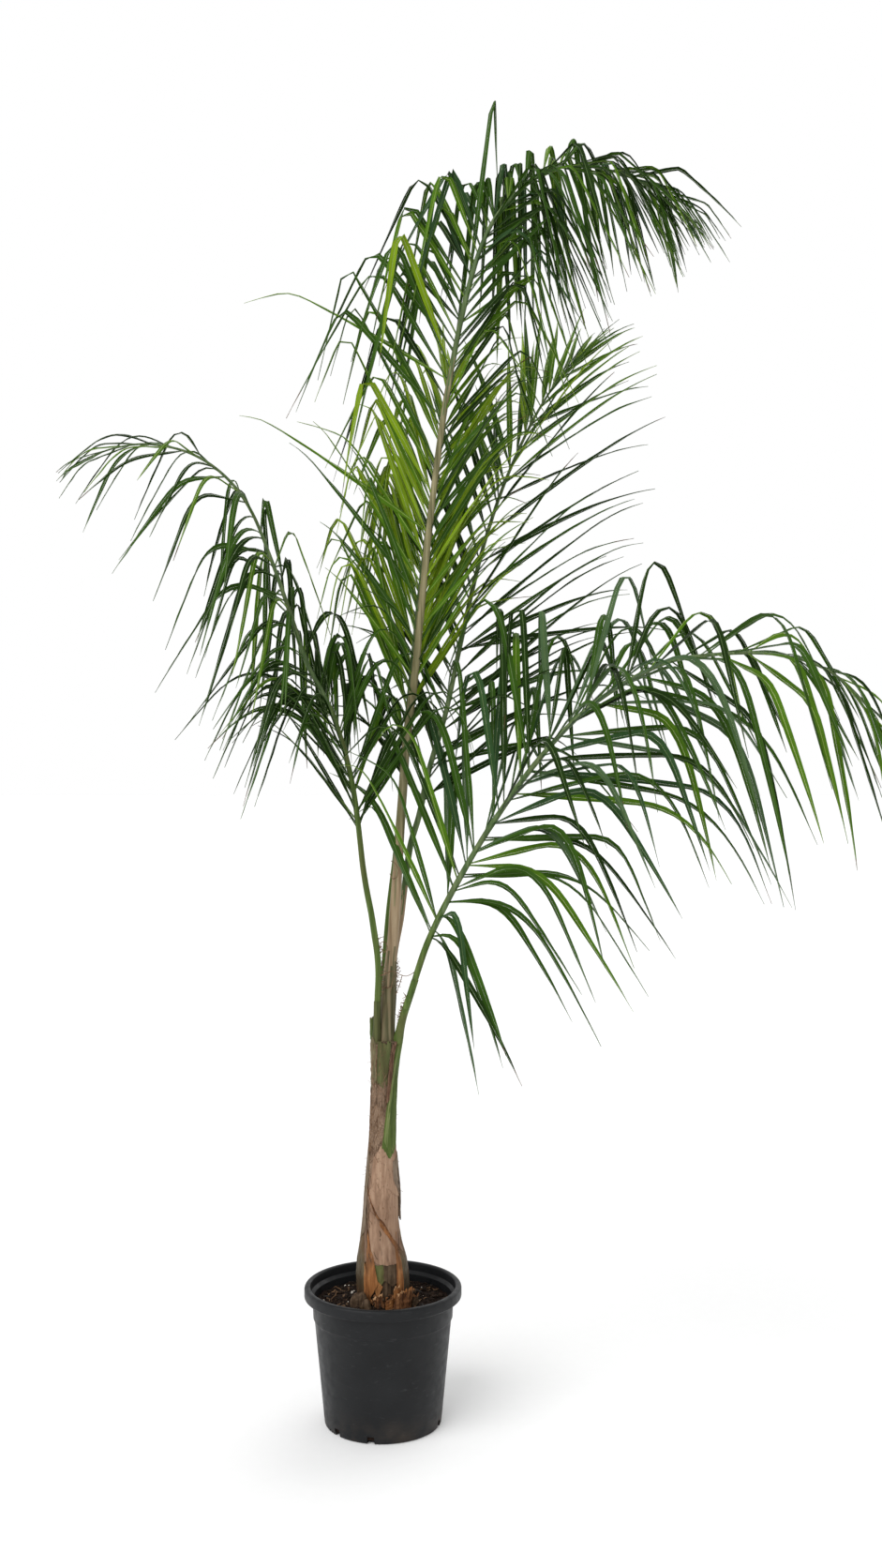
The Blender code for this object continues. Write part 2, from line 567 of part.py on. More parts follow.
def leaflet_body(rib, habit, nudge=0.0, shorter=1.0, swell=0.0, trim=0.0):
    """Points and faces of one keeled leaflet, swollen or trimmed to test its room."""
    pts, aim, tangent = leaflet_spine(rib, habit, nudge, shorter)
    length = habit["length"] * shorter
    thick = LEAFLET_THICKNESS * length + 2 * swell
    at_root = unit(tangent - np.dot(tangent, aim) * aim)
    level = np.cross(aim, UP)
    level = unit(level) if np.linalg.norm(level) > 0.05 else at_root
    if np.dot(level, at_root) < 0:
        level = -level
    rings = []
    for s in (trim, max(1.6 * trim, 0.42 * habit["fold_at"]), max(2.2 * trim, habit["fold_at"])):
        where = s * SPINE_STEPS
        low = min(int(where), SPINE_STEPS - 1)
        centre = pts[low] + (pts[low + 1] - pts[low]) * (where - low)
        way = unit(pts[low + 1] - pts[low])
        blend = unit(at_root * (1 - s) + level * s + habit["twist"] * s * np.cross(way, at_root))
        across = unit(blend - np.dot(blend, way) * way)
        normal = np.cross(across, way)
        width = LEAST_ROOT + (LEAFLET_WIDTH - LEAST_ROOT) * eased(s / 0.25) + 2 * swell
        depth = thick * (0.7 if s == 0 else 1)
        rings.append([centre - across * width / 2 - normal * depth / 2,
                      centre + across * width / 2 - normal * depth / 2,
                      centre + normal * depth / 2])
    return bulging(rings, *lofted(rings, tip=pts[-1]))


def bulging(rings, verts, faces):
    """Splits the twisted sides along the diagonal that lies outside.

    Along the other one the opposite sides of a thin twisted blade would cross.
    """
    split = []
    for face in faces:
        if len(face) != 4:
            split.append(face)
            continue
        a, b, far_b, far_a = (verts[k] for k in face)
        centre = sum(rings[face[0] // len(rings[0])]) / len(rings[0])
        outwards = np.dot(np.cross(b - a, far_a - a), (a + b) / 2 - centre)
        hollow = np.dot(np.cross(b - a, far_b - a), far_a - a)
        if outwards * hollow < 0:
            split += [(face[0], face[1], face[2]), (face[0], face[2], face[3])]
        else:
            split += [(face[0], face[1], face[3]), (face[1], face[2], face[3])]
    return verts, split


def bvh(body):
    verts, faces = body
    return BVHTree.FromPolygons([tuple(v) for v in verts], faces)


def crosses_itself(body):
    """True where a body is inside out in places, as at a fold that is too sharp.

    Just behind each face, the solid angle of the whole surface has to be a full turn.
    """
    verts, faces = np.array([tuple(v) for v in body[0]]), body[1]
    fans = [(face[0], b, c) for face in faces for b, c in zip(face[1:], face[2:])]
    corners = verts[np.array(fans)]
    normals = np.cross(corners[:, 1] - corners[:, 0], corners[:, 2] - corners[:, 0])
    normals /= np.linalg.norm(normals, axis=1)[:, None]
    outwards = np.sign(np.einsum("ij,ij->", corners[:, 0], np.cross(corners[:, 1], corners[:, 2])))
    behind = corners.mean(axis=1) - outwards * BEHIND * normals
    a, b, c = (corners[None, :, k] - behind[:, None] for k in range(3))
    far_a, far_b, far_c = (np.linalg.norm(v, axis=2) for v in (a, b, c))
    top = np.einsum("ijk,ijk->ij", a, np.cross(b, c))
    low = (far_a * far_b * far_c + (a * b).sum(2) * far_c + (b * c).sum(2) * far_a
           + (c * a).sum(2) * far_b)
    turns = outwards * np.arctan2(top, low).sum(axis=1) / (2 * math.pi)
    return bool((turns < 0.5).any())


def box_of(body):
    pts = np.array([tuple(v) for v in body[0]])
    return pts.min(axis=0), pts.max(axis=0)


class Space:
    """What each piece already takes up, so that later leaflets keep clear of it."""

    def __init__(self):
        self.taken = []

    def add(self, owner, body):
        self.taken.append((owner, box_of(body), bvh(body)))

    def free(self, owner, body, blade=None):
        """True where the body clears other pieces, and its blade its own piece too."""
        low, high = box_of(body)
        tree, blade_tree = bvh(body), blade and bvh(blade)
        for other, (other_low, other_high), other_tree in self.taken:
            if (low > other_high).any() or (high < other_low).any():
                continue
            if other == owner:
                if blade and blade_tree.overlap(other_tree):
                    return False
            elif tree.overlap(other_tree):
                return False
        return True


def place_leaflet(space, owner, rib, habit):
    """The leaflet's body where it has room, turned or shortened a little, or None.

    It first looks for a way that crosses none of its own frond's leaflets either.
    """
    for shorter, apart in SHORTER:
        for nudge in NUDGES:
            body = leaflet_body(rib, habit, nudge, shorter)
            if crosses_itself(body):
                continue
            swollen = leaflet_body(rib, habit, nudge, shorter, swell=CLEARANCE)
            blade = leaflet_body(rib, habit, nudge, shorter, trim=TRIM) if apart else None
            if space.free(owner, swollen, blade):
                return body
    return None


def stretch_of(frond, place):
    """Which stretch between the cuts a place on the rib is in."""
    return sum(place > cut for cut in frond.cuts)


def away_from_cuts(frond, rib, habit):
    """Moves a leaflet's root off the cuts between two stretches."""
    room = CUT_ROOM / rib.length
    for cut in frond.cuts:
        if abs(habit["place"] - cut) < room:
            habit["place"] = cut + (room if habit["place"] >= cut else -room)
    return habit


def fuse(name, bodies, mat):
    """One closed object from a rib stretch and its leaflets, by a single union."""
    obj = add_object(name, *bodies[0], mat)
    helpers = bpy.data.collections.new(name + "_parts")
    bpy.context.scene.collection.children.link(helpers)
    for i, body in enumerate(bodies[1:]):
        add_object(f"{name}_leaflet_{i}", *body, mat, helpers)
    union = obj.modifiers.new("union", "BOOLEAN")
    union.operation = "UNION"
    union.solver = "MANIFOLD"        # EXACT leaves open edges where leaflets cross
    union.operand_type = "COLLECTION"
    union.collection = helpers
    apply_modifiers(obj)
    for helper in list(helpers.objects):
        bpy.data.objects.remove(helper)
    bpy.data.collections.remove(helpers)
    keep_main_shell(obj.data)
    return obj


def apply_modifiers(obj):
    """Bakes the object's modifiers into its mesh and removes their cutters."""
    bpy.context.view_layer.update()
    evaluated = obj.evaluated_get(bpy.context.evaluated_depsgraph_get())
    mesh = bpy.data.meshes.new_from_object(evaluated)
    cutters = [m.object for m in obj.modifiers if m.operation == "DIFFERENCE"]
    obj.modifiers.clear()
    obj.data = mesh
    for cutter in cutters:
        bpy.data.objects.remove(cutter)


def keep_main_shell(mesh):
    """Drops loose scraps and fills sealed hollows: only the largest shell stays.

    Points that only divide an edge go too: two faces would be split by one diagonal.
    """
    bm = bmesh.new()
    bm.from_mesh(mesh)
    left = set(bm.faces)
    shells = []
    while left:
        shell, front = set(), [left.pop()]
        while front:
            face = front.pop()
            shell.add(face)
            for edge in face.edges:
                for near in edge.link_faces:
                    if near in left:
                        left.discard(near)
                        front.append(near)
        shells.append(shell)
    shells.sort(key=len, reverse=True)
    scraps = [face for shell in shells[1:] for face in shell]
    bmesh.ops.delete(bm, geom=scraps, context="FACES")
    idle = [vert for vert in bm.verts if len(vert.link_edges) == 2]
    bmesh.ops.dissolve_verts(bm, verts=idle)
    bm.to_mesh(mesh)
    bm.free()


def make_fronds(mats):
    """Ribs first, then the leaflets of every frond in turn, each in its own space."""
    space = Space()
    ribs = {frond.name: Rib(frond) for frond in FRONDS}
    bodies = {}
    for frond in FRONDS:
        ends = (0, *frond.cuts, 1)
        for name, start, end in zip(STRETCH_NAMES[frond.name], ends, ends[1:]):
            bodies[name] = [rib_stretch(ribs[frond.name], start, end)]
            space.add(name, bodies[name][0])
    skipped = 0
    for frond in FRONDS:
        rib = ribs[frond.name]
        for habit in leaflet_habits(frond):
            habit = away_from_cuts(frond, rib, habit)
            name = STRETCH_NAMES[frond.name][stretch_of(frond, habit["place"])]
            body = place_leaflet(space, name, rib, habit)
            if body is None:
                skipped += 1
                continue
            space.add(name, body)
            bodies[name].append(body)
    print("leaflets", sum(len(b) - 1 for b in bodies.values()), "skipped", skipped)
    for frond in FRONDS:
        for name in STRETCH_NAMES[frond.name]:
            if len(bodies[name]) > 1:
                fuse(name, bodies[name], mats[frond.name])
            else:
                add_object(name, *bodies[name][0], mats["petiole"])


# --------------------------------------------------------------------- the model

def clear_scene():
    for obj in list(bpy.data.objects):
        bpy.data.objects.remove(obj)


def build():
    clear_scene()
    bark = material("bark", (0.33, 0.23, 0.14), 0.8)
    sheath = material("sheath", (0.30, 0.26, 0.12), 0.7)
    mats = {frond.name: material("leaf_" + frond.name, frond.color, 0.45) for frond in FRONDS}
    mats["petiole"] = material("petiole", (0.22, 0.26, 0.12), 0.5)
    make_pot(material("pot_plastic", (0.035, 0.036, 0.038), 0.5))
    make_soil(material("soil", (0.06, 0.035, 0.022), 0.95))
    make_trunk(bark)
    for name in SHEATHS:
        make_sheath(name, mats["petiole"] if name == "green_sheath" else sheath)
    for name in STUBS:
        make_stub(name, bark)
    make_fronds(mats)


build()
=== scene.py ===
import math
from collections import namedtuple
from itertools import combinations
from random import Random

import bmesh
import bpy
import numpy as np
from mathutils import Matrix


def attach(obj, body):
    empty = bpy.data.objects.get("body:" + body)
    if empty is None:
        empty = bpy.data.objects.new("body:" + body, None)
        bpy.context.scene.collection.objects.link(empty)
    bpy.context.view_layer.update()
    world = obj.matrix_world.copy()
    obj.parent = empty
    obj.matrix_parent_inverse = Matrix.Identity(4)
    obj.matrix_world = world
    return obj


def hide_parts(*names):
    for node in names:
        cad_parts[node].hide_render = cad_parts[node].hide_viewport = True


# Potted queen palm: the detailed pot, soil, trunk, stalks and fronds that go round
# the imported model.  Metres, +Z up; the pot's axis is X = Y = 0, its underside Z = 0.

UP = np.array((0.0, 0.0, 1.0))
TURN = 2 * math.pi
BODY = "root"

# Camera and light.
CAMERA_PLACE = (.118, -3.33, 1.414)
CAMERA_TILT = 88.0
CAMERA_LENS = 38.0
SENSOR = 36.0
SKY_LOW, SKY_HIGH = 1.0, .55          # light of the sky's white lower part and of its top
SKY_TURN = (.42, .65)                 # heights of a sight line between which it dims
FLOOR_SIZE = 60.0
FLOOR_DROP = .0004                    # the floor lies this far below the pot
LAMPS = (
    # name, place it shines from, aimed at, softness in degrees, strength
    ("key", (-2.6, -3.4, 5.0), (.1, 0.0, 1.0), 50, 1.7),
    ("back", (2.0, 3.0, 4.6), (.1, 0.0, 1.0), 50, .5),
)

# Pot: radii and heights of its turned wall.
POT_HEIGHT = .28
POT_BASE_RADIUS = .119
POT_RIM_RADIUS = .16
POT_LIP_HEIGHT = .023
POT_BAND_HEIGHT = .042
POT_BAND_RADIUS = .1437
POT_BAND_STEP = .0022
POT_WALL = .0032
POT_FLOOR = .006
POT_SIDES = 144
LIP_THICKNESS = .0125
NOTCH_WIDTH = .016
NOTCH_HEIGHT = .015
NOTCH_DEPTH = .011
NOTCH_ANGLES = (-138, -100, -18, 21, 60, 99, 140, 181)
SLOT_ANGLE = -151            # a small slot beside the leftmost notch in front
SLOT_WIDTH, SLOT_HEIGHT = .004, .006

# Soil.
SOIL_TOP = .25
SOIL_EDGE_DROP = .007
SOIL_FLAT_RADIUS = .075
SOIL_RADIUS = .138
SOIL_ROUGHNESS = .0035
# How many of each lie on the soil, and their least and greatest size.
CRUMBS, CRUMB_SIZE = 2900, (.0008, .0026)
CHIPS, CHIP_SIZE = 44, (.003, .0065)
PERLITE, PERLITE_SIZE = 40, (.0009, .0021)
ROOTLETS, ROOTLET_STEP = 22, .0042
SHARD = (-.064, .026, .002)           # one pale shard on the soil beside the trunk
SHARD_SIZE = .0052
WALL_CLEAR = .004                     # crumbs stay this far off the pot's wall

GAP = .0003                           # clearance between parts that meet
TRUNK_FOOT = SOIL_TOP + GAP
# Trunk: height, centre in X, half width in X, half width in Y.
TRUNK_RINGS = (
    (TRUNK_FOOT, 0.0, .045, .045),
    (.275, 0.0, .048, .047),
    (.305, -.001, .049, .0475),
    (.336, -.002, .0465, .045),
    (.372, -.004, .039, .039),
    (.412, -.004, .0345, .035),
    (.47, -.002, .0325, .0325),
    (.53, -.002, .0275, .028),
    (.572, -.002, .0235, .0245),
    (.645, 0.0, .0225, .0235),
    (.705, .002, .0235, .024),
    (.752, .004, .0265, .0255),
    (.78, .006, .03, .027),
)
TRUNK_TOP = TRUNK_RINGS[-1][0]
TRUNK_SIDES = 120
TRUNK_ROWS = 190
NET_FOOT = .338                       # bare bark below this height, netted fibre above
FOOT_FADE = (.3, .34)                 # heights over which the foot's hollows end
FINE_RELIEF, BROAD_RELIEF, FOOT_RELIEF = .0011, .001, .003
TRUNK_INSET = .0012
SHEATH_RELIEF = .0007
NET_FIBRES = 190
THREADS = 46                          # loose threads of one group
SCRAPS, FRONT_SCRAPS = 300, 210       # torn scraps at the foot, and those in front
STUB_ROWS = 14
FIRST_SIDE = (1.0, .13, .31)          # rough direction of a tube's first side

# Old leaf sheaths wrapped round the trunk, inner ones first.  Each row: material,
# first and last direction in degrees (-90 is the front, 0 the right), with two
# more for the upper end of one that leans, heights of the lower edge and of the
# upper edge from the first direction to the last, how far it stands off the
# trunk, its thickness, how ragged its edges are.
PLATES = (
    ("net", (150, 390), (.52, .5, .52), (.775, .77, .778), .0004, .0012, .01),
    # The innermost dark papery sheath: its own darker tone, and painted shade where it shows at the trunk's
    # left side.
    ("paper_dark", (-200, 20), (.345, .343, .338, .334, .333, .336, .342, .345),
        (.56, .585, .562, .6, .56, .58, .545, .56), .0004, .001, .003),
    ("paper", (-122, -32, -134, -22), (.352, .336, .333, .334, .345), (.47, .44, .41), .0012, .001, .001),
    ("paper", (20, 165), (.33, .345, .33), (.54, .575, .56), .0006, .0014, .006),
    ("paper_grey", (-215, -146), (.36, .372, .392), (.6, .59, .545), .002, .0014, .004),
    ("paper", (-135, -12, -124, -20), (.47, .405, .345), (.545, .572, .546, .56), .002, .0013, .002),
    ("paper", (-112, 5), (.512, .475, .452), (.53, .552, .568, .566), .0034, .0011, .003),
    ("paper_grey", (-46, 30), (.5, .456, .43), (.535, .548, .552), .0044, .0011, .002),
    ("orange", (-124, -98, -132, -108), (.262, .276, .296), (.4, .372, .345), .0022, .0012, .001),
    ("orange", (-104, -88, -110, -98), (.262, .29), (.322, .3), .0004, .001, .001),
    ("moss_band", (-108, -84), (.3, .288, .302), (.342, .342, .34), 0.0, .0005, .001),
    ("bark_mid", (-86, -44), (.304, .29, .3), (.342, .342, .342), 0.0, .0007, .002),
    ("orange", (-58, -40, -48, -38), (.266, .272), (.366, .396), .0022, .0012, .001),
    ("orange", (-92, -36), (.412, .384, .352), (.422, .396, .37), .003, .0006, .001),
    ("bark_dark", (-22, 40), (.424, .41, .43), (.515, .53, .5), .004, .0016, .005),
    ("paper", (40, 150), (.42, .38, .41), (.54, .56, .53), .0024, .0014, .006),
    ("net", (-160, -75), (.58, .562, .574), (.64, .652, .64), .0016, .001, .01),
    ("net", (-150, -80), (.648, .66, .646), (.704, .69, .7), .0018, .0012, .01),
    ("olive_base", (-168, -122, -160, -128), (.676, .69, .7), (.772, .792, .778), .001, .002, .004),
    ("green_core", (-124, -70, -118, -66), (.7, .688, .694), (.779, .779, .779), .0014, .0016, .006),
    ("torn_strip", (-76, -54, -62, -46), (.655, .668), (.775, .779), .0034, .0014, .004),
)
# Leaf bases that clasp the swollen foot: middle, spread and height of the top.
FOOT_SHEATHS = {"left": (190, 105, .425), "right": (-10, 78, .405), "back": (83, 96, .39)}
FOOT_SHEATH_THICK = .0045

# Edges and cracks of the old sheaths: paint, thickness, how far out, and the
# places they run through as directions in degrees and heights.
SEAMS = (
    ("torn", .0019, .0034, ((-152, .489), (-128, .462), (-104, .4316), (-82, .417), (-62, .3935),
        (-37, .374))),
    ("bark_dark", .0012, .0026, ((-147, .462), (-138, .412), (-128, .366), (-116, .342), (-105, .326))),
    ("bark_dark", .0012, .003, ((-20, .452), (-22, .41), (-34, .366), (-46, .338))),
    ("bark_dark", .0012, .0026, ((-93, .402), (-89, .394), (-91, .388))),
    ("bark_dark", .0009, .0026, ((-90, .386), (-92, .381))),
    ("torn", .0005, .004, ((-120, .551), (-103, .537), (-88, .513), (-66, .489), (-38, .47))),
    ("bark_mid", .0005, .004, ((-112, .53), (-86, .536), (-62, .52), (-40, .498))),
    ("torn", .0008, .0032, ((-84, .448), (-82, .444))),
    ("torn", .0009, .0032, ((-76, .425), (-74, .4215))),
    ("bark_mid", .0006, .003, ((-108, .36), (-103, .35), (-97, .344))),
)

# Leaflets: degrees by which they fan about the rib, one after another.
FAN_ROLLS = (0, 24, -20, 10, 38, -8, 16, -30)
TURN_SPREAD = 9              # degrees by which leaflets' angles to the rib differ
SAG = .2
# Each frond's widest leaflet, and the share of a leaflet's length over which it bends.
LEAFLET_WIDTH = {"tall": .014, "left": .0135, "right": .016, "back": .0155, "young": .015}
SOFTNESS = {"tall": .16, "left": .45, "right": .4, "back": .4, "young": .25}
SPINE_STEPS = 20
BLADE_END = .995             # place on the rib of the last leaflets
LEAST_ROOT = .004
LEAST_TIP = .0006
MIDRIB = .0007               # half width of a leaflet's midrib
TIP_SHARE = .2               # share of the leaflets whose thread has dried brown
WIDE_UNTIL, TAPER_POWER = .34, 2.5    # where a leaflet starts to taper, and how suddenly
RIPPLE = .0005               # waviness of a leaflet's edges
# Finer leaflets between the source's own: each row is where on the leafy part a set
# starts and ends, and the length of its leaflets as a share of the source's.
BETWEEN = {
    "tall": ((.45, 1.0, .94), (.6, 1.0, .92), (.68, 1.0, .88)),
    "left": ((0.0, .62, .94), (0.0, .3, .9)),
    "right": ((0.0, .55, .94),),
    "back": ((0.0, .4, .94), (.6, 1.0, .94)),
    "young": ((0.0, 1.0, .92), (0.0, .5, .88)),
}
TANGENT_STEP = .008
RIB_SIDES = 16
RIB_STEP = .01

# Old sheaths that clasp each stalk above the trunk: paint, foot in X and Y, foot height,
# foot radius, the place on the stalk where it ends, how ragged that end is.
SLEEVES = {
    "tall": ("petiole_moss", (.008, -.004), .742, .019, .052, .01),
    "left": ("green_core", (-.006, -.009), .735, .009, .055, .006),
    "right": ("petiole_green", (.013, -.006), .69, .0122, .1, .003),
    "back": ("petiole_tan", (.014, .012), .742, .0135, .09, .008),
    "young": ("petiole_moss", (-.005, .012), .742, .0125, .06, .008),
}
SLEEVE_ROWS = 18
# Torn threads between the stalks: the route of each and its thickness.
LOOSE_STRIPS = (
    (((-.005, -.026, .914), (.008, -.022, .918), (.021, -.02, .922), (.035, -.022, .916),
        (.048, -.032, .914), (.059, -.044, .92), (.066, -.05, .926)), .0008),
    (((.04, -.02, .914), (.036, -.024, .9), (.031, -.02, .885), (.027, -.014, .874)), .0009),
    (((.025, -.02, .915), (.019, -.024, .896), (.016, -.022, .878)), .0007),
    (((.017, -.013, 1.144), (.025, -.02, 1.14), (.032, -.018, 1.129), (.03, -.016, 1.112),
        (.021, -.014, 1.108), (.015, -.014, 1.118)), .0008),
    (((.003, -.028, .96), (.01, -.032, .968), (.008, -.03, .98), (-.001, -.028, .982), (-.003, -.028, .972),
        (.001, -.027, .966)), .0008),
)
# Strips of dry fringe: frond, first and last place on its stalk, side of the stalk.
FRINGES = (("left", .062, .15, 1), ("right", .03, .075, -1), ("tall", .045, .075, 1))

BAND_TONGUE = .03            # how far a stalk's colours reach into each other
RIB_PAINTS = {
    "tall": ((0, "petiole_moss"), (.062, "petiole_tan"), (.16, "rib_pale"), (.62, "rib_green")),
    "left": ((0, "petiole_green"), (.45, "rib_green")),
    "right": ((0, "petiole_green"), (.2, "rib_green")),
    "back": ((0, "petiole_green"), (.06, "petiole_tan"), (.16, "rib_green")),
    "young": ((0, "petiole_green"), (.4, "rib_green")),
}
# Leaf tones of each frond from a share of its leafy part on, with their weights; a
# frond's side that differs has rows of its own.  The pale tone is a painted sheen, and
# the deep tone is partly painted shade.
TONES = {
    ("tall", -1): {0: {"mid": 45, "fresh": 45, "bright": 10}, .1: {"mid": 8, "fresh": 34, "bright": 58},
        .31: {"deep": 16, "mid": 40, "fresh": 38, "bright": 6},
        .56: {"deep": 34, "mid": 38, "blue": 8, "fresh": 20}},
    "tall": {0: {"deep": 30, "mid": 36, "fresh": 28, "bright": 6}, .3: {"deep": 24, "mid": 36, "fresh": 40},
        .58: {"deep": 36, "mid": 42, "blue": 8, "fresh": 14}},
    "left": {0: {"deep": 56, "mid": 36, "fresh": 8}},
    # The right frond's pale share is a painted sheen on its leaflets.
    "right": {0: {"deep": 18, "mid": 38, "blue": 14, "pale": 20, "fresh": 10},
        .5: {"deep": 22, "mid": 46, "pale": 12, "fresh": 20}},
    "back": {0: {"deep": 70, "mid": 30}, .6: {"mid": 45, "fresh": 45, "bright": 10}},
    "young": {0: {"bright": 55, "fresh": 45}},
}
# The solids that each frond's stalk and its leaflets stand in for.
STALK_NODES = {
    "tall": ("stem_sheath", "petiole_tall"), "left": ("petiole_left",), "right": ("petiole_right",),
    "back": ("petiole_back",), "young": ("petiole_young",),
}
BLADE_NODES = {
    "tall": ("frond_tall_lower", "frond_tall_arch"),
    "left": ("frond_left_lower", "frond_left_tip"),
    "right": ("frond_right_lower", "frond_right_tip"),
    "back": ("frond_back_lower", "frond_back_tip"),
    "young": ("frond_young",),
}


# One frond.  `route` runs from the petiole's foot to the tip.  Keyed tables start each
# row with a share of the whole route (`half_width`, `face`) or of the leafy part
# (`left`, `right`).  A leaflet row gives length, angle to the rib, lift towards the
# upper face, the share of its length where it folds, and how far it hangs.  `extra`
# lists single leaflets that stand out: a share of the leafy part, the side, and the
# same habit with the lift first.
Frond = namedtuple("Frond", "name route half_width face leafy pairs seed left right extra")
# One leaflet: where on the rib it springs, on which side, and how it grows.
Habit = namedtuple("Habit", "place side roll turn length fold_at hang twist")


TALL = Frond(
    name="tall",
    route=((.0085, -.002, TRUNK_TOP), (.011, -.002, .84), (.016, -.001, .93), (.022, 0.0, 1.0),
        (.03, 0.0, 1.12), (.047, .01, 1.366), (.066, .02, 1.525), (.083, .03, 1.707), (.104, .04, 1.897),
        (.132, .05, 2.097), (.172, .06, 2.295), (.212, .07, 2.416), (.266, .08, 2.493), (.351, .1, 2.554),
        (.45, .13, 2.565), (.547, .16, 2.54), (.612, .18, 2.5)),
    half_width=((0, .015), (.05, .014), (.085, .0108), (.17, .0092), (.28, .0082), (.36, .0072),
        (.5, .0064), (.7, .0052), (.85, .0034), (1, .0018)),
    face=((0, 0, -1, 0), (.6, 0, -1, .2), (.82, .1, -.35, 1), (1, .3, 0, 1)), leafy=.335, pairs=45, seed=11,
    left=((0, .3, 34, 0, .85, .2), (.15, .42, 32, 0, .85, .3), (.28, .5, 36, 0, .64, 2.6),
        (.42, .58, 46, 5, .5, 3.0), (.58, .5, 44, 0, .38, 3.0), (.75, .4, 50, 12, .22, 2.4),
        (.93, .28, 36, 8, .3, 1.5), (1, .12, 12, 0, .8, .6)),
    right=((0, .3, 32, 0, .85, .2), (.2, .38, 30, 0, .85, .3), (.36, .42, 30, 5, .62, 2.4),
        (.5, .44, 34, 5, .5, 3.0), (.63, .43, 44, 5, .35, 2.8), (.78, .4, 50, 12, .2, 2.4),
        (.93, .28, 36, 8, .3, 1.5), (1, .12, 12, 0, .8, .6)),
    extra=((.57, -1, 0, 7, .62, .67, 5.0), (.68, -1, 0, 26, .32, .5, 2.6), (.44, -1, 0, 68, .47, .8, .6),
        (.22, -1, 5, 60, .45, .9, .3)))

LEFT = Frond(
    name="left",
    route=((-.012, -.0135, TRUNK_TOP), (-.01, -.02, .86), (-.008, -.022, .933), (-.02, -.022, 1.027),
        (-.037, -.022, 1.122), (-.059, -.03, 1.299), (-.096, -.05, 1.437), (-.145, -.07, 1.536),
        (-.172, -.09, 1.62), (-.204, -.12, 1.719), (-.243, -.15, 1.821), (-.287, -.18, 1.883),
        (-.347, -.22, 1.922), (-.42, -.25, 1.935), (-.48, -.27, 1.925), (-.53, -.28, 1.905)),
    half_width=((0, .0058), (.1, .0062), (.3, .0055), (.55, .0045), (.8, .003), (1, .0016)),
    face=((0, .2, -.9, .2), (.3, .5, -.7, .3), (.62, .6, -.55, .55), (1, .1, -.3, 1)), leafy=.29, pairs=32,
    seed=12,
    left=((0, .34, 28, -5, .85, .5), (.15, .38, 34, -5, .6, 2.0), (.32, .38, 44, -5, .35, 2.2),
        (.5, .38, 54, -5, .3, 2.1), (.65, .36, 50, -5, .3, 1.8), (.85, .27, 36, -5, .4, .9),
        (1, .1, 12, 0, .8, .6)),
    right=((0, .46, 34, 0, .72, 2.8), (.15, .42, 40, 0, .6, 3.0), (.3, .36, 46, -5, .4, 2.8),
        (.45, .34, 50, -10, .2, 2.6), (.6, .34, 46, -10, .15, 2.4), (.85, .24, 34, -5, .3, 1.4),
        (1, .1, 12, 0, .8, .6)),
    extra=())

RIGHT = Frond(
    name="right",
    route=((.0315, -.006, TRUNK_TOP), (.039, -.02, .82), (.057, -.05, .879), (.093, -.06, .989),
        (.152, -.08, 1.11), (.22, -.1, 1.226), (.304, -.13, 1.346), (.404, -.16, 1.452), (.528, -.2, 1.528),
        (.622, -.24, 1.547), (.733, -.28, 1.546), (.817, -.31, 1.519), (.875, -.34, 1.465),
        (.915, -.36, 1.395)),
    half_width=((0, .0058), (.15, .0062), (.35, .0056), (.6, .0044), (.85, .0028), (1, .0016)),
    face=((0, 0, -.9, .1), (.12, -.3, -.7, .3), (.55, -.3, -.5, .8), (1, .3, 0, 1)), leafy=.16, pairs=38,
    seed=13,
    left=((0, .42, 48, 0, .75, .8), (.2, .54, 48, 0, .7, 1.6), (.35, .56, 44, 0, .6, 2.3),
        (.6, .44, 44, 5, .4, 2.3), (.85, .36, 40, 0, .25, 2.1), (1, .16, 12, 0, .6, .8)),
    right=((0, .38, 56, 0, .15, 2.4), (.12, .5, 52, 0, .45, 1.8), (.3, .64, 54, 5, .66, 1.6),
        (.6, .6, 52, 5, .5, 2.2), (.85, .4, 40, -5, .3, 2.1), (1, .16, 12, 0, .6, .8)),
    extra=((.02, 1, 0, 60, .34, .12, 4.0),))

BACK = Frond(
    name="back",
    route=((.012, .019, TRUNK_TOP), (.017, .024, .88), (.025, .027, .96), (.037, .03, 1.029),
        (.054, .035, 1.163), (.073, .04, 1.231), (.094, .05, 1.327), (.127, .07, 1.438), (.154, .1, 1.564),
        (.186, .14, 1.708), (.218, .18, 1.828), (.263, .23, 1.956), (.323, .3, 2.088), (.385, .36, 2.19),
        (.433, .42, 2.249)),
    half_width=((0, .005), (.2, .0062), (.5, .0048), (.8, .0032), (1, .0016)),
    face=((0, 0, -1, 0), (1, -.4, -.8, .6)), leafy=.29, pairs=26, seed=14,
    left=((0, .34, 40, 0, .6, 1.0), (.5, .44, 38, 0, .85, .2), (.72, .38, 26, 0, .85, .1),
        (.9, .26, 18, 0, .85, .1), (1, .13, 10, 0, .9, .1)),
    right=((0, .38, 42, 0, .7, .8), (.2, .48, 46, 0, .85, .3), (.5, .44, 42, 0, .9, .1),
        (.72, .36, 30, 0, .9, .1), (.9, .24, 20, 0, .9, .1), (1, .13, 10, 0, .9, .1)),
    extra=((.3, 1, 0, 72, .44, .9, .2), (.08, 1, 0, 62, .5, .55, 1.3), (.16, 1, 10, 34, .52, .9, .2)))

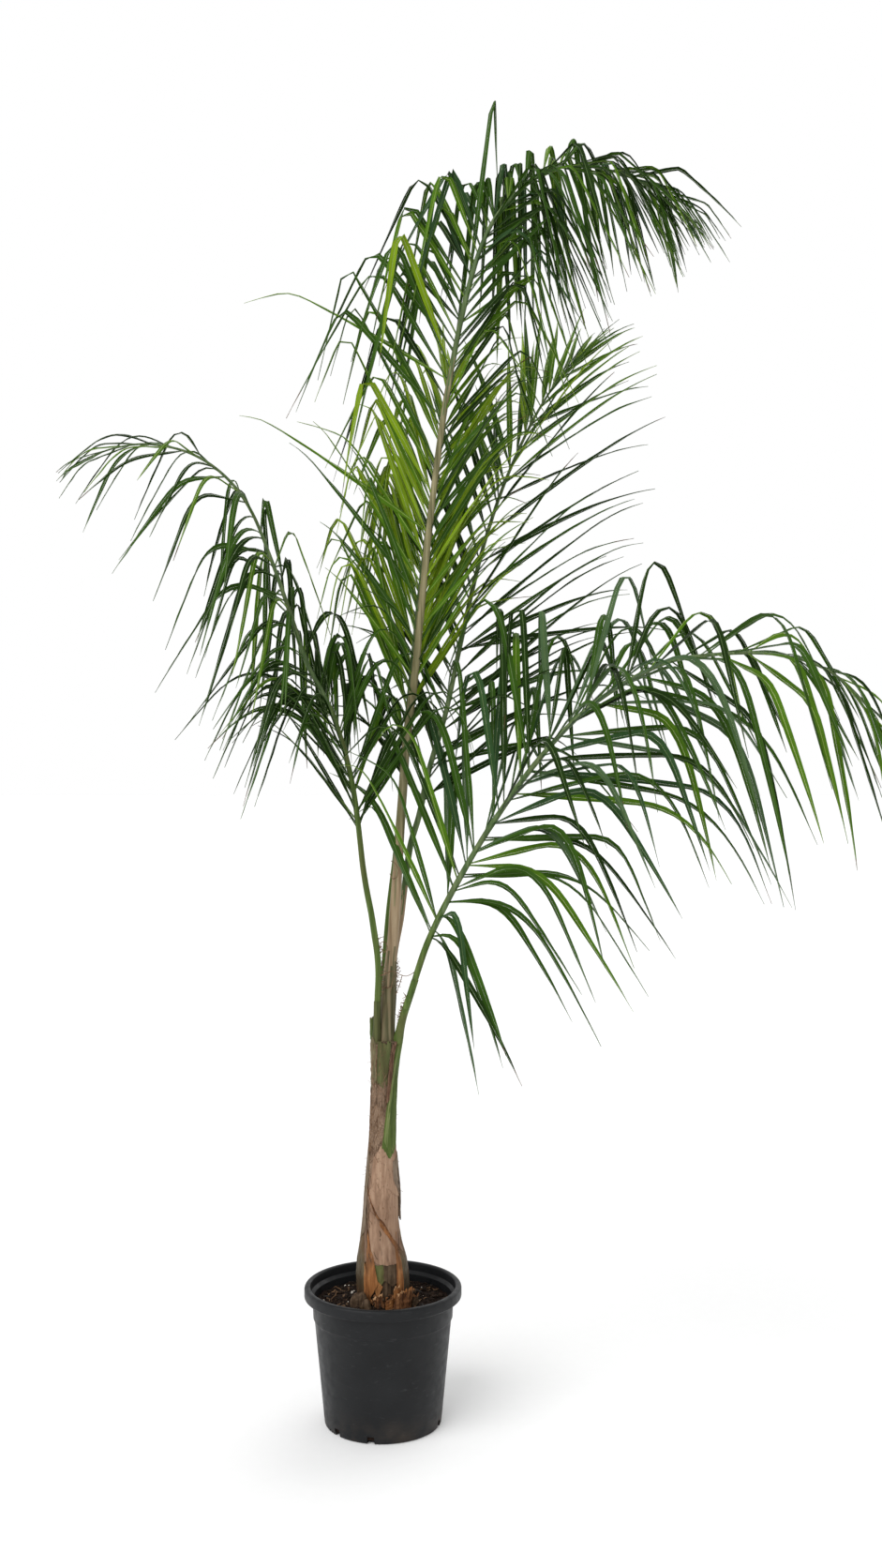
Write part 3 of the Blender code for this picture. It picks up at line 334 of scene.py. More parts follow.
YOUNG = Frond(
    name="young",
    route=((-.004, .0195, TRUNK_TOP), (-.002, .026, .88), (.01, .032, 1.03), (.027, .04, 1.174),
        (.046, .06, 1.403), (.062, .08, 1.577), (.08, .12, 1.753), (.101, .17, 1.915), (.125, .23, 2.063),
        (.146, .3, 2.177)),
    half_width=((0, .0042), (.3, .005), (.7, .0036), (1, .0016)),
    face=((0, 0, -1, 0), (1, 0, -.9, .4)), leafy=.45, pairs=19, seed=15,
    left=((0, .52, 22, 0, .72, 2.8), (.25, .48, 26, 0, .66, 3.0), (.5, .42, 28, 0, .6, 3.0),
        (.7, .34, 26, 0, .66, 2.0), (.85, .28, 22, 0, .8, .6), (1, .14, 12, 0, .9, .3)),
    right=((0, .4, 22, 0, .8, .6), (.5, .42, 26, 0, .8, .6), (.85, .28, 24, 0, .8, .6),
        (1, .14, 12, 0, .9, .3)),
    extra=())

FRONDS = (TALL, LEFT, RIGHT, BACK, YOUNG)


# ---------------- plain helpers

def unit(v):
    return v / np.linalg.norm(v)


def circle(count):
    """Directions spread evenly round a circle."""
    return np.linspace(0, TURN, count, endpoint=False)


def units(rows):
    """Each row of an array made a unit vector."""
    return rows / np.maximum(np.linalg.norm(rows, axis=-1, keepdims=True), 1e-12)


def eased(share):
    """Smooth step from 0 to 1."""
    share = np.clip(share, 0.0, 1.0)
    return share * share * (3 - 2 * share)


def keyed(table, place):
    """Values of a keyed table at a place, eased between its rows."""
    if place <= table[0][0]:
        return np.array(table[0][1:], float)
    for low, high in zip(table, table[1:]):
        if place <= high[0]:
            share = eased((place - low[0]) / (high[0] - low[0]))
            return np.array(low[1:], float) * (1 - share) + np.array(high[1:], float) * share
    return np.array(table[-1][1:], float)


def smooth_path(points, steps=24):
    """A Catmull-Rom curve through the points, as a dense array."""
    pts = np.array(points, float)
    ends = np.vstack([2 * pts[0] - pts[1], pts, 2 * pts[-1] - pts[-2]])
    out = []
    for a, b, c, d in zip(ends, ends[1:], ends[2:], ends[3:]):
        for u in (i / steps for i in range(steps)):
            out.append(.5 * (2 * b + (c - a) * u + (2 * a - 5 * b + 4 * c - d) * u * u
                + (3 * b - a - 3 * c + d) * u ** 3))
    return np.array(out + [pts[-1]])


def placed(obj):
    bpy.context.scene.collection.objects.link(obj)
    return obj


def bare_mesh(name, verts, faces):
    """A mesh object from points and faces."""
    mesh = bpy.data.meshes.new(name)
    mesh.from_pydata([tuple(map(float, v)) for v in verts], [], [tuple(map(int, f)) for f in faces])
    return placed(bpy.data.objects.new(name, mesh))


class Field:
    """Smooth seeded noise between -1 and 1; its first direction closes on itself."""

    def __init__(self, seed, around, along):
        self.values = np.random.default_rng(seed).uniform(-1, 1, (around, along + 1))

    def __call__(self, u, v):
        around, along = self.values.shape
        u, v = np.broadcast_arrays(u, v)
        x, y = u % 1.0 * around, np.clip(v, 0, 1) * (along - 1.001)
        i, j = x.astype(int), y.astype(int)
        a, b = eased(x - i), eased(y - j)
        near, far = i % around, (i + 1) % around
        low = self.values[near, j] * (1 - a) + self.values[far, j] * a
        high = self.values[near, j + 1] * (1 - a) + self.values[far, j + 1] * a
        return low * (1 - b) + high * b


class Sheet:
    """Points and faces gathered for one piece, each face with one of its materials."""

    def __init__(self):
        self.materials, self.points, self.faces, self.kinds, self.flow = [], [], [], [], []
        self.count = 0               # points so far

    def kind_of(self, material):
        if material not in self.materials:
            self.materials.append(material)
        return self.materials.index(material)

    def add(self, points, faces, kinds, flow=None):
        """Faces over points of their own; flow is a lengthwise and a crosswise measure."""
        points = np.asarray(points, float).reshape(-1, 3)
        self.points.append(points)
        self.flow.append(np.zeros((len(points), 2)) if flow is None else np.reshape(flow, (-1, 2)))
        self.faces += [tuple(int(k) + self.count for k in face) for face in faces]
        kinds = [kinds] * len(faces) if isinstance(kinds, str) else kinds
        self.kinds += [self.kind_of(kind) for kind in kinds]
        self.count += len(points)

    def grid(self, points, kinds, wrap=False, flow=None):
        """Faces over rows of points; kinds is one material, one a row, or rows of them."""
        rows, cols = points.shape[:2]
        steps = range(cols if wrap else cols - 1)
        faces, each = [], []
        for r, kind in enumerate([kinds] * (rows - 1) if isinstance(kinds, str) else kinds):
            each += [kind] * len(steps) if isinstance(kind, str) else kind
            for c in steps:
                near = (c + 1) % cols
                faces.append((r * cols + c, r * cols + near, (r + 1) * cols + near, (r + 1) * cols + c))
        self.add(points, faces, each, flow)

    def cap(self, ring, material):
        """One flat face over a ring of points."""
        self.add(ring, [range(len(ring))], material)

    def piece(self, name, slot, *replaced, sharp=40):
        """The finished object in place of the solids it replaces."""
        obj = bare_mesh(name, np.vstack(self.points), self.faces)
        mesh = obj.data
        for key in self.materials:
            mesh.materials.append(PAINTS[key])
        mesh.polygons.foreach_set("material_index", self.kinds)
        corners = np.empty(len(mesh.loops), int)
        mesh.loops.foreach_get("vertex_index", corners)
        flow = np.vstack(self.flow)[corners].astype(np.float32)
        mesh.uv_layers.new(name="flow").data.foreach_set("uv", flow.ravel())
        dress(obj, replaced, sharp)


def dress(obj, replaced, sharp):
    """Shades a piece, flat or smooth up to an angle, and lets it ride on the plant."""
    mesh = obj.data
    mesh.polygons.foreach_set("use_smooth", [sharp > 0] * len(mesh.polygons))
    if sharp > 0:
        mesh.set_sharp_from_angle(angle=math.radians(sharp))
    mesh.update()
    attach(obj, BODY)
    if replaced:
        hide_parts(*replaced)


def frames_along(path, side):
    """Side and upper direction at each point, carried along without twisting."""
    ways, sides = units(np.gradient(path, axis=0)), []
    for way in ways:
        side = unit(side - np.dot(side, way) * way)
        sides.append(side)
    sides = np.array(sides)
    return sides, np.cross(sides, ways)


def tube(sheet, path, radii, sides, material):
    """A round tube along a path, closed at its ends; radii is one number or one a point."""
    radii = np.broadcast_to(np.asarray(radii, float), (len(path),))
    side, up = frames_along(path, FIRST_SIDE)
    turn = circle(sides)[None, :, None]
    ring = np.cos(turn) * side[:, None] + np.sin(turn) * up[:, None]
    points = path[:, None] + radii[:, None, None] * ring
    sheet.grid(points[:, ::-1], material, wrap=True)
    sheet.cap(points[0], material)
    sheet.cap(points[-1][::-1], material)


def icosahedron():
    """The twelve points and twenty faces of a regular icosahedron."""
    gold = (1 + math.sqrt(5)) / 2
    pts = []
    for a in (-1, 1):
        for b in (-gold, gold):
            pts += [(0, a, b), (a, b, 0), (b, 0, a)]
    pts = units(np.array(pts, float))
    edge = min(np.linalg.norm(pts[0] - p) for p in pts[1:]) * 1.01
    faces = []
    for i, j, k in combinations(range(12), 3):
        trio = pts[[i, j, k]]
        if max(np.linalg.norm(trio[m] - trio[m - 1]) for m in range(3)) < edge:
            normal = np.cross(trio[1] - trio[0], trio[2] - trio[0])
            faces.append((i, j, k) if np.dot(normal, trio[0]) > 0 else (i, k, j))
    return pts, faces


LUMP_POINTS, LUMP_FACES = icosahedron()


def lump(sheet, centre, size, rng, material, shape=(1, 1, 1)):
    """A small crooked lump."""
    pts = LUMP_POINTS * np.array([rng.uniform(.7, 1.2) for _ in range(12)])[:, None]
    pts = pts * np.array(shape) * size
    turn, tip = rng.uniform(0, TURN), rng.uniform(-.5, .5)
    c, s = math.cos(turn), math.sin(turn)
    pts = pts @ np.array(((c, s, 0), (-s, c, 0), (0, 0, 1)))
    c, s = math.cos(tip), math.sin(tip)
    pts = pts @ np.array(((1, 0, 0), (0, c, s), (0, -s, c)))
    sheet.add(pts + np.asarray(centre), LUMP_FACES, material)


# ---------------- materials

def rgba(color):
    """A colour with its alpha, or the socket that gives it."""
    return color if isinstance(color, bpy.types.NodeSocket) else (*color, 1)


class Tree:
    """A node tree whose nodes are added by short calls."""

    def __init__(self, owner):
        owner.use_nodes = True
        self.tree = owner.node_tree
        self.coords = self.node("TexCoord").outputs

    def join(self, made, pins):
        """Sets a node's inputs, each to a value or to another node's output."""
        for pin, value in pins.items():
            if isinstance(value, bpy.types.NodeSocket):
                self.tree.links.new(value, made.inputs[pin])
            else:
                made.inputs[pin].default_value = value

    def node(self, kind, pins=None, **settings):
        made = self.tree.nodes.new("ShaderNode" + kind)
        for key, value in settings.items():
            setattr(made, key, value)
        self.join(made, pins or {})
        return made

    def height(self, space):
        return self.node("SeparateXYZ", {"Vector": self.coords[space]}).outputs["Z"]

    def spread(self, amount, low, high, start=.3, end=.7):
        """A number that goes from low to high while the amount goes from start to end."""
        return self.node("MapRange", {"Value": amount, "From Min": start, "From Max": end, "To Min": low,
            "To Max": high}).outputs["Result"]


class Paint(Tree):
    """A Principled material."""

    def __init__(self, name, specular=.5):
        self.mat = bpy.data.materials.new(name)
        super().__init__(self.mat)
        self.shader = self.tree.nodes["Principled BSDF"]
        self.shader.inputs["Specular IOR Level"].default_value = specular

    def texture(self, kind, stretch, pins, **settings):
        """A texture over the object's own space, stretched along its axes."""
        spot = self.node("Mapping", {"Vector": self.coords["Object"], "Scale": stretch}).outputs[0]
        return self.node("Tex" + kind, {"Vector": spot, **pins}, **settings)

    def noise(self, scale, detail=4.0, stretch=(1, 1, 1), warp=0.0):
        pins = {"Scale": scale, "Detail": detail, "Distortion": warp}
        return self.texture("Noise", stretch, pins).outputs[0]

    def cells(self, scale, stretch=(1, 1, 1), feature="F1"):
        return self.texture("Voronoi", stretch, {"Scale": scale}, feature=feature).outputs["Distance"]

    def stripes(self, scale, warp):
        """Fine lines that run lengthwise, from the crosswise measure of the flow map."""
        pins = {"Vector": self.coords["UV"], "Scale": scale, "Distortion": warp}
        return self.node("TexWave", pins, bands_direction="Y").outputs["Fac"]

    def ramp(self, amount, *stops):
        """Colours keyed to an amount: each stop is a place and a colour."""
        made = self.node("ValToRGB", {"Fac": amount})
        points = made.color_ramp.elements
        while len(points) < len(stops):
            points.new(.5)
        for point, (place, color) in zip(points, stops):
            point.position = place
            point.color = rgba(color)
        return made.outputs["Color"]

    def blend(self, amount, first, second):
        """Goes from the first colour to the second."""
        pins = {"Factor": amount, 6: rgba(first), 7: rgba(second)}
        return self.node("Mix", pins, data_type="RGBA").outputs[2]

    def times(self, a, b):
        return self.node("Math", {0: a, 1: b}, operation="MULTIPLY").outputs[0]

    def dots(self, scale, stretch, edges, noise, patches):
        """Scattered spots, only where a broad noise lies high."""
        return self.times(self.spread(self.cells(scale, stretch), .8, 0, *edges),
            self.spread(self.noise(noise, 2), 0, 1, *patches))

    def finish(self, color, roughness, *reliefs):
        """Joins colour, roughness and bump; each relief is a height, its depth, its strength."""
        normal = {}
        for height, depth, strength in reliefs:
            bump = self.node("Bump", {"Height": height, "Distance": depth, "Strength": strength, **normal})
            normal = {"Normal": bump.outputs["Normal"]}
        self.join(self.shader, {"Base Color": color, "Roughness": roughness, **normal})
        return self.mat


def paint_pot():
    """Charcoal moulded plastic: faint mottling, pale scuffs, dust near its foot."""
    p = Paint("pot_plastic", .22)
    base = p.ramp(p.noise(14, 6), (.3, (.0052, .0058, .0066)), (.7, (.0092, .01, .0112)))
    scuffs = p.noise(38, 8, (1, 1, 5), 1.4)
    base = p.blend(p.spread(scuffs, 0, .35, .62, .8), base, (.06, .061, .063))
    low = p.spread(p.height("Object"), .75, 0, .004, .06)
    dust = p.times(low, p.spread(p.noise(22, 7), 0, .7, .42, .75))
    base = p.blend(dust, base, (.065, .047, .034))
    specks = p.spread(p.cells(260), .5, 0, .03, .07)
    specks = p.times(specks, p.spread(p.noise(30, 2), 0, 1, .6, .66))
    base = p.blend(specks, base, (.3, .29, .27))
    rough = p.spread(p.noise(55, 5), .36, .56)
    return p.finish(base, rough, (p.noise(420, 3), .0004, .35), (p.noise(24, 3), .002, .1))


def paint_grains(name, dark, light, roughness, scale=300, depth=.0008):
    """An earthy or woody crumb in two tones."""
    p = Paint(name, .12)
    color = p.ramp(p.noise(scale, 5), (.32, dark), (.68, light))
    rough = p.spread(p.noise(scale * .6, 3), roughness - .12, min(1.0, roughness + .1))
    return p.finish(color, rough, (p.noise(scale * 2.2, 4), depth, .7))


def paint_net():
    """Woven leaf fibre: a pale irregular net over brown hollows."""
    p = Paint("net", .15)
    threads = p.spread(p.cells(520, (1, 1, .7), "DISTANCE_TO_EDGE"), 1, .15, .02, .28)
    tone = p.ramp(p.noise(34, 5), (.34, (.165, .105, .068)), (.66, (.34, .235, .16)))
    hollow = p.ramp(p.noise(60, 3), (.4, (.05, .032, .02)), (.6, (.155, .1, .066)))
    rough = p.spread(p.noise(90, 3), .75, .95)
    return p.finish(p.blend(threads, hollow, tone), rough, (threads, .0009, .7),
        (p.noise(60, 6), .0022, .4))


def paint_bark(name, dark, mid, light, fibre, depth, rough, blotch=None, most=.75, foot=None):
    """Fibrous bark or sheath: fine upright fibres over broad blotches, perhaps a dark foot."""
    p = Paint(name, .2)
    fibres = p.noise(fibre, 6, (1, 1, .1), .4)
    blots = p.noise(26, 5, (1, 1, .6))
    color = p.ramp(fibres, (.3, dark), (.5, mid), (.72, light))
    if blotch:
        color = p.blend(p.spread(blots, 0, most, .44, .66), color, blotch)
    if foot:
        low = p.spread(p.height("Object"), 1, 0, *FOOT_DARK)
        color = p.blend(p.times(low, p.spread(blots, 1, .55)), color, foot)
    dots = p.dots(150, (1, 1, .55), (.05, .12), 17, (.52, .6))
    color = p.blend(dots, color, tuple(.45 * c for c in dark))
    roughness = p.spread(p.noise(90, 3), rough - .15, min(1.0, rough + .12))
    return p.finish(color, roughness, (fibres, depth, .8), (p.noise(60, 6), .0022, .35))


def paint_stalk(name, dark, mid, light, freckle, rough=.42):
    """A smooth stalk with lengthwise streaks and freckles."""
    p = Paint(name, .18)
    streaks = p.noise(150, 5, (1, 1, .035), .3)
    color = p.ramp(streaks, (.32, dark), (.5, mid), (.7, light))
    patches = p.noise(20, 6, (1, 1, .35))
    color = p.blend(p.spread(patches, 0, .55, .5, .7), color, freckle)
    dots = p.dots(320, (1, 1, .4), (.06, .13), 40, (.5, .62))
    color = p.blend(dots, color, tuple(.5 * c for c in freckle))
    roughness = p.spread(patches, rough - .06, rough + .18)
    return p.finish(color, roughness, (streaks, .0007, .5), (p.noise(75, 4, (1, 1, .3)), .001, .2))


def paint_leaf(name, color, rough=.4):
    """Leaf green: close tones, fine lengthwise veins and an uneven waxy sheen."""
    p = Paint(name, .06)
    dark, vein = (tuple(c * shade for c in color) for shade in (.84, .72))
    light = tuple(c * k for c, k in zip(color, (1.12, 1.1, 1.05)))
    veins = p.stripes(330, .6)
    body = p.ramp(p.noise(18, 4), (.35, dark), (.65, light))
    body = p.blend(p.spread(veins, 0, .22, .55, .95), body, vein)
    roughness = p.spread(p.noise(45, 3), rough - .07, rough + .13)
    return p.finish(body, roughness, (veins, .00012, .6), (p.noise(120, 3), .0006, .25))


FOOT_DARK = (.27, .39)                # heights between which an old leaf base's dark foot fades

# Crumbs and grains: dark and light tone, roughness, scale of the grain, depth of its relief.
GRAINS = {
    "soil": ((.007, .004, .003), (.026, .014, .009), .92, 420, .0015),
    "crumb_dark": ((.006, .004, .003), (.02, .012, .008), .92),
    "crumb_mid": ((.011, .007, .005), (.036, .021, .013), .9),
    "crumb_tan": ((.055, .034, .02), (.16, .1, .06), .85),
    "chip": ((.024, .016, .012), (.08, .054, .036), .8, 160),
    "chip_grey": ((.022, .02, .019), (.06, .055, .05), .75, 160),
    "perlite": ((.5, .45, .38), (.8, .76, .68), .8, 500),
    "root": ((.12, .062, .03), (.3, .18, .1), .75, 200),
    "fibre": ((.085, .045, .025), (.24, .15, .09), .8, 120, .0004),
}
# Bark and old sheaths: dark, middle and light tone, scale of the fibres, depth of their
# relief, roughness, and the tone and strength of the blotches, with the foot's tone last.
BARKS = {
    "paper": ((.19, .112, .07), (.3, .188, .122), (.385, .262, .178), 120, .0006, .72, (.155, .084, .05),
        .7),
    # A darker papery sheath that is also painted shade where it shows at the trunk's left side.
    "paper_dark": ((.12, .07, .044), (.2, .126, .085), (.27, .185, .13), 120, .0006, .72, (.11, .062, .036),
        .6),
    "paper_grey": ((.105, .075, .05), (.185, .135, .095), (.27, .21, .155), 160, .0009, .75,
        (.11, .08, .045)),
    "bark_mid": ((.03, .018, .01), (.085, .052, .03), (.15, .1, .06), 150, .001, .7, (.045, .03, .014)),
    "moss_band": ((.04, .044, .012), (.09, .1, .03), (.15, .14, .055), 150, .0008, .6, (.085, .045, .018)),
    "olive_base": ((.06, .048, .024), (.13, .11, .055), (.21, .185, .105), 150, .001, .65,
        (.09, .05, .028)),
    "torn_strip": ((.03, .014, .008), (.12, .062, .036), (.25, .155, .105), 330, .0026, .85),
    "bark_dark": ((.02, .012, .007), (.06, .036, .02), (.13, .085, .05), 210, .0018, .8),
    "torn": ((.03, .012, .006), (.125, .05, .019), (.27, .13, .054), 260, .0026, .85),
    "cut": ((.19, .095, .04), (.36, .205, .1), (.52, .34, .19), 260, .001, .7),
    "olive": ((.06, .044, .02), (.125, .098, .048), (.2, .17, .095), 130, .0006, .5, (.11, .054, .022), .8,
        (.028, .014, .008)),
    "orange": ((.11, .04, .012), (.25, .098, .03), (.4, .19, .068), 130, .0008, .55, (.075, .034, .014),
        .7),
}
# Stalks and green sheaths: dark, middle, light and freckles' tone, and roughness.
STALKS = {
    "green_sheath": ((.04, .064, .01), (.062, .096, .016), (.105, .145, .032), (.095, .085, .034), .45),
    "sheath_light": ((.075, .105, .026), (.13, .165, .05), (.2, .225, .09), (.13, .1, .05), .45),
    "green_core": ((.03, .042, .01), (.058, .076, .02), (.105, .12, .04), (.07, .044, .022), .5),
    "petiole_green": ((.04, .074, .012), (.066, .11, .02), (.11, .16, .038), (.11, .1, .04)),
    "petiole_moss": ((.044, .046, .018), (.105, .092, .046), (.19, .155, .09), (.15, .095, .055), .6),
    "petiole_tan": ((.17, .115, .062), (.27, .195, .115), (.37, .29, .185), (.2, .125, .07), .5),
    "rib_pale": ((.1, .095, .04), (.2, .18, .09), (.32, .28, .16), (.14, .12, .05), .48),
    "rib_green": ((.045, .085, .026), (.085, .135, .048), (.15, .2, .085), (.11, .12, .055), .45),
}
# Leaves: their tone, and roughness.  The pale blue-green tone is a painted sheen: it
# stands in for light reflected off the leaflets' waxy upper faces.
LEAVES = {
    "vein": ((.105, .165, .062), .42),
    "vein_light": ((.26, .36, .09), .42),
    "leaf_tip": ((.115, .078, .036), .6),
    # The deep tone is partly the leaflets' own dark green and partly painted shade.
    "leaf_deep": ((.012, .033, .003),),
    "leaf_mid": ((.032, .084, .007),),
    # Painted sheen: a pale blue-green tone in place of light reflected off the leaflets.
    "leaf_pale": ((.066, .12, .05),),
    "leaf_blue": ((.028, .07, .022),),
    "leaf_fresh": ((.07, .16, .008),),
    "leaf_bright": ((.18, .29, .01),),
}
PAINTS = {}


def make_paints():
    PAINTS["pot"], PAINTS["net"] = paint_pot(), paint_net()
    for paint, table in ((paint_grains, GRAINS), (paint_bark, BARKS), (paint_stalk, STALKS),
            (paint_leaf, LEAVES)):
        for name, row in table.items():
            PAINTS[name] = paint(name, *row)


# ---------------- pot and soil

def pot_inner_radius(height):
    """Inner radius of the wall from the floor to the lip."""
    share = (height - POT_FLOOR) / (POT_HEIGHT - POT_LIP_HEIGHT - POT_FLOOR)
    return POT_BASE_RADIUS - POT_WALL + (POT_BAND_RADIUS - POT_BASE_RADIUS) * share


def arc(radius, height, round_by, start, end, steps=6):
    """Points of a rounded corner of a profile, from one direction to another in degrees."""
    turns = np.radians(np.linspace(start, end, steps))
    return [(radius + round_by * math.cos(t), height + round_by * math.sin(t)) for t in turns]


def pot_profile():
    """Half section of the pot, from the middle of its underside to that of its floor."""
    lip_foot = POT_HEIGHT - POT_LIP_HEIGHT
    band_foot = lip_foot - POT_BAND_HEIGHT
    body_top = POT_BAND_RADIUS - 2 * POT_BAND_STEP
    inside = POT_RIM_RADIUS - LIP_THICKNESS
    profile = [(0.0, 0.0), (POT_BASE_RADIUS - .012, 0.0)]
    profile += arc(POT_BASE_RADIUS - .003, .003, .003, -90, -5)
    for share in np.linspace(.06, .97, 14):
        profile.append((POT_BASE_RADIUS + (body_top - POT_BASE_RADIUS) * share, band_foot * share))
    profile += [(body_top, band_foot - .0012), (body_top + .0006, band_foot)]
    profile += arc(POT_BAND_RADIUS - POT_BAND_STEP - .001, band_foot + .0016, .0012, -60, 0, 4)
    profile += [(POT_BAND_RADIUS - .0008, lip_foot - .01), (POT_BAND_RADIUS, lip_foot - .003)]
    profile += arc(POT_BAND_RADIUS + .003, lip_foot - .0032, .003, 180, 95, 4)
    profile += arc(POT_RIM_RADIUS - .0035, lip_foot + .0035, .0035, -90, 0)
    profile += arc(POT_RIM_RADIUS - .0062, POT_HEIGHT - .006, .006, 4, 88, 8)
    profile += arc(inside + .0036, POT_HEIGHT - .0036, .0036, 92, 176, 6)
    profile += [(inside - .0006, lip_foot + .006), (pot_inner_radius(lip_foot), lip_foot)]
    for share in np.linspace(.85, 0.0, 8):
        height = POT_FLOOR + (lip_foot - POT_FLOOR) * share
        profile.append((pot_inner_radius(height), height))
    profile.append((0.0, POT_FLOOR))
    return profile


def make_pot():
    turns = circle(POT_SIDES)
    rings = [[(r * math.cos(t), r * math.sin(t), z) for t in turns] for r, z in pot_profile()[1:-1]]
    points = np.vstack([np.reshape(rings, (-1, 3)), (0, 0, 0), (0, 0, POT_FLOOR)])
    last, foot = (len(rings) - 1) * POT_SIDES, len(points) - 2
    edges = [(c, (c + 1) % POT_SIDES) for c in range(POT_SIDES)]
    faces = [(low + c, low + near, low + POT_SIDES + near, low + POT_SIDES + c)
        for low in range(0, last, POT_SIDES) for c, near in edges]
    for c, near in edges:
        faces += [(foot, near, c), (foot + 1, last + c, last + near)]
    pot = bare_mesh("pot_body", points, faces)
    for angle in NOTCH_ANGLES:
        cut_notch(pot, angle, NOTCH_WIDTH, NOTCH_HEIGHT)
    cut_notch(pot, SLOT_ANGLE, SLOT_WIDTH, SLOT_HEIGHT)
    bake_modifiers(pot)
    pot.data.materials.append(PAINTS["pot"])
    dress(pot, ("pot",), 32)


def cut_notch(pot, angle, width, height):
    """A square drainage notch in the pot's bottom edge."""
    turn = math.radians(angle)
    outward = np.array((math.cos(turn), math.sin(turn), 0))
    across = np.array((-outward[1], outward[0], 0)) * width / 2
    points = []
    for radius in (POT_BASE_RADIUS - NOTCH_DEPTH, POT_BASE_RADIUS + .01):
        foot, head = outward * radius - UP * .01, outward * radius + UP * height
        points += [foot - across, foot + across, head + across * .85, head - across * .85]
    sides = [(k, (k + 1) % 4, 4 + (k + 1) % 4, 4 + k) for k in range(4)]
    cutter = bare_mesh("notch_cutter", points, [(3, 2, 1, 0), (4, 5, 6, 7)] + sides)
    turn_out(cutter.data)
    cut = pot.modifiers.new("notch", "BOOLEAN")
    cut.operation = "DIFFERENCE"
    cut.object = cutter


def turn_out(mesh):
    bm = bmesh.new()
    bm.from_mesh(mesh)
    bmesh.ops.recalc_face_normals(bm, faces=bm.faces)
    bm.to_mesh(mesh)
    bm.free()


def bake_modifiers(obj):
    """Bakes the object's modifiers into its mesh and removes their cutters."""
    bpy.context.view_layer.update()
    evaluated = obj.evaluated_get(bpy.context.evaluated_depsgraph_get())
    mesh = bpy.data.meshes.new_from_object(evaluated)
    cutters = [m.object for m in obj.modifiers]
    obj.modifiers.clear()
    obj.data = mesh
    for cutter in cutters:
        bpy.data.objects.remove(cutter)


def soil_height(x, y, field):
    """Height of the soil's surface, lumpy and a little lower near the wall."""
    drop = eased((np.hypot(x, y) - SOIL_FLAT_RADIUS) / (SOIL_RADIUS - SOIL_FLAT_RADIUS))
    return SOIL_TOP - SOIL_EDGE_DROP * drop + field(.5 + x / .4, .5 + y / .4) * SOIL_ROUGHNESS


def make_soil():
    """The filled pot's soil: a lumpy top with crumbs, chips, perlite and rootlets on it."""
    field = Field(41, 46, 46)
    sheet = Sheet()
    edge = pot_inner_radius(SOIL_TOP - SOIL_EDGE_DROP) - 2 * GAP
    foot_radius = pot_inner_radius(POT_FLOOR + GAP) - 2 * GAP
    radii = np.linspace(.02, 1, 44)[:, None] * edge
    turns = circle(132)
    x, y = radii * np.cos(turns), radii * np.sin(turns)
    top = np.stack([x, y, soil_height(x, y, field)], -1)
    sides = np.array([[(foot_radius * k * math.cos(t), foot_radius * k * math.sin(t), POT_FLOOR + GAP)
        for t in turns] for k in (1.0, .02)])
    sheet.grid(np.concatenate([top, sides])[::-1], "soil", wrap=True)
    sheet.cap(top[0], "soil")
    sheet.cap(sides[1][::-1], "soil")
    sheet.piece("soil_top", "soil", "soil")
    make_crumbs(field, edge)


def make_crumbs(field, edge):
    rng = Random(42)
    sheet = Sheet()
    most = edge - WALL_CLEAR

    def spot(least=.045):
        turn, radius = rng.uniform(0, TURN), math.sqrt(rng.uniform(least ** 2, most ** 2))
        x, y = radius * math.cos(turn), radius * math.sin(turn)
        return np.array((x, y, float(soil_height(x, y, field))))

    for _ in range(CRUMBS):
        kind = rng.choice(("crumb_dark",) * 9 + ("crumb_mid",) * 5 + ("crumb_tan",))
        size = rng.uniform(*CRUMB_SIZE) * (2.4 if rng.random() < .05 else 1)
        lump(sheet, spot() + UP * size * .4, size, rng, kind, (1, rng.uniform(.7, 1.4), .75))
    for _ in range(CHIPS):
        kind = rng.choice(("chip", "chip", "chip_grey", "crumb_tan"))
        size = rng.uniform(*CHIP_SIZE)
        lump(sheet, spot() + UP * size * .3, size, rng, kind, (1.5, rng.uniform(.4, .7), .28))
    for _ in range(PERLITE):
        size = rng.uniform(*PERLITE_SIZE)
        lump(sheet, spot(.06) + UP * size * .9, size, rng, "perlite")
    shard = np.array(SHARD) + UP * soil_height(*SHARD[:2], field)
    lump(sheet, shard, SHARD_SIZE, rng, "perlite", (1.5, .5, .6))
    for _ in range(ROOTLETS):
        start, turn = spot(), rng.uniform(0, TURN)
        path = [start + UP * .0015]
        for _ in range(9):
            turn += rng.uniform(-.8, .8)
            after = path[-1] + np.array((math.cos(turn), math.sin(turn), 0)) * ROOTLET_STEP
            after[2] = float(soil_height(after[0], after[1], field)) + rng.uniform(.001, .0035)
            if math.hypot(after[0], after[1]) < most:
                path.append(after)
        if len(path) > 3:
            tube(sheet, smooth_path(path, 3), rng.uniform(.0004, .0009), 5, "root")
    sheet.piece("soil_crumbs", "soil", sharp=0)


# ---------------- trunk, sheaths and stubs

def trunk_points(heights, angles, outwards=0.0):
    """Points on the trunk's surface, or a little outside it, for arrays of places."""
    rings = np.array(TRUNK_RINGS)
    x, half_x, half_y = (np.interp(heights, rings[:, 0], rings[:, k]) for k in (1, 2, 3))
    return np.stack([x + (half_x + outwards) * np.cos(angles), (half_y + outwards) * np.sin(angles), heights
        + 0 * angles], -1)


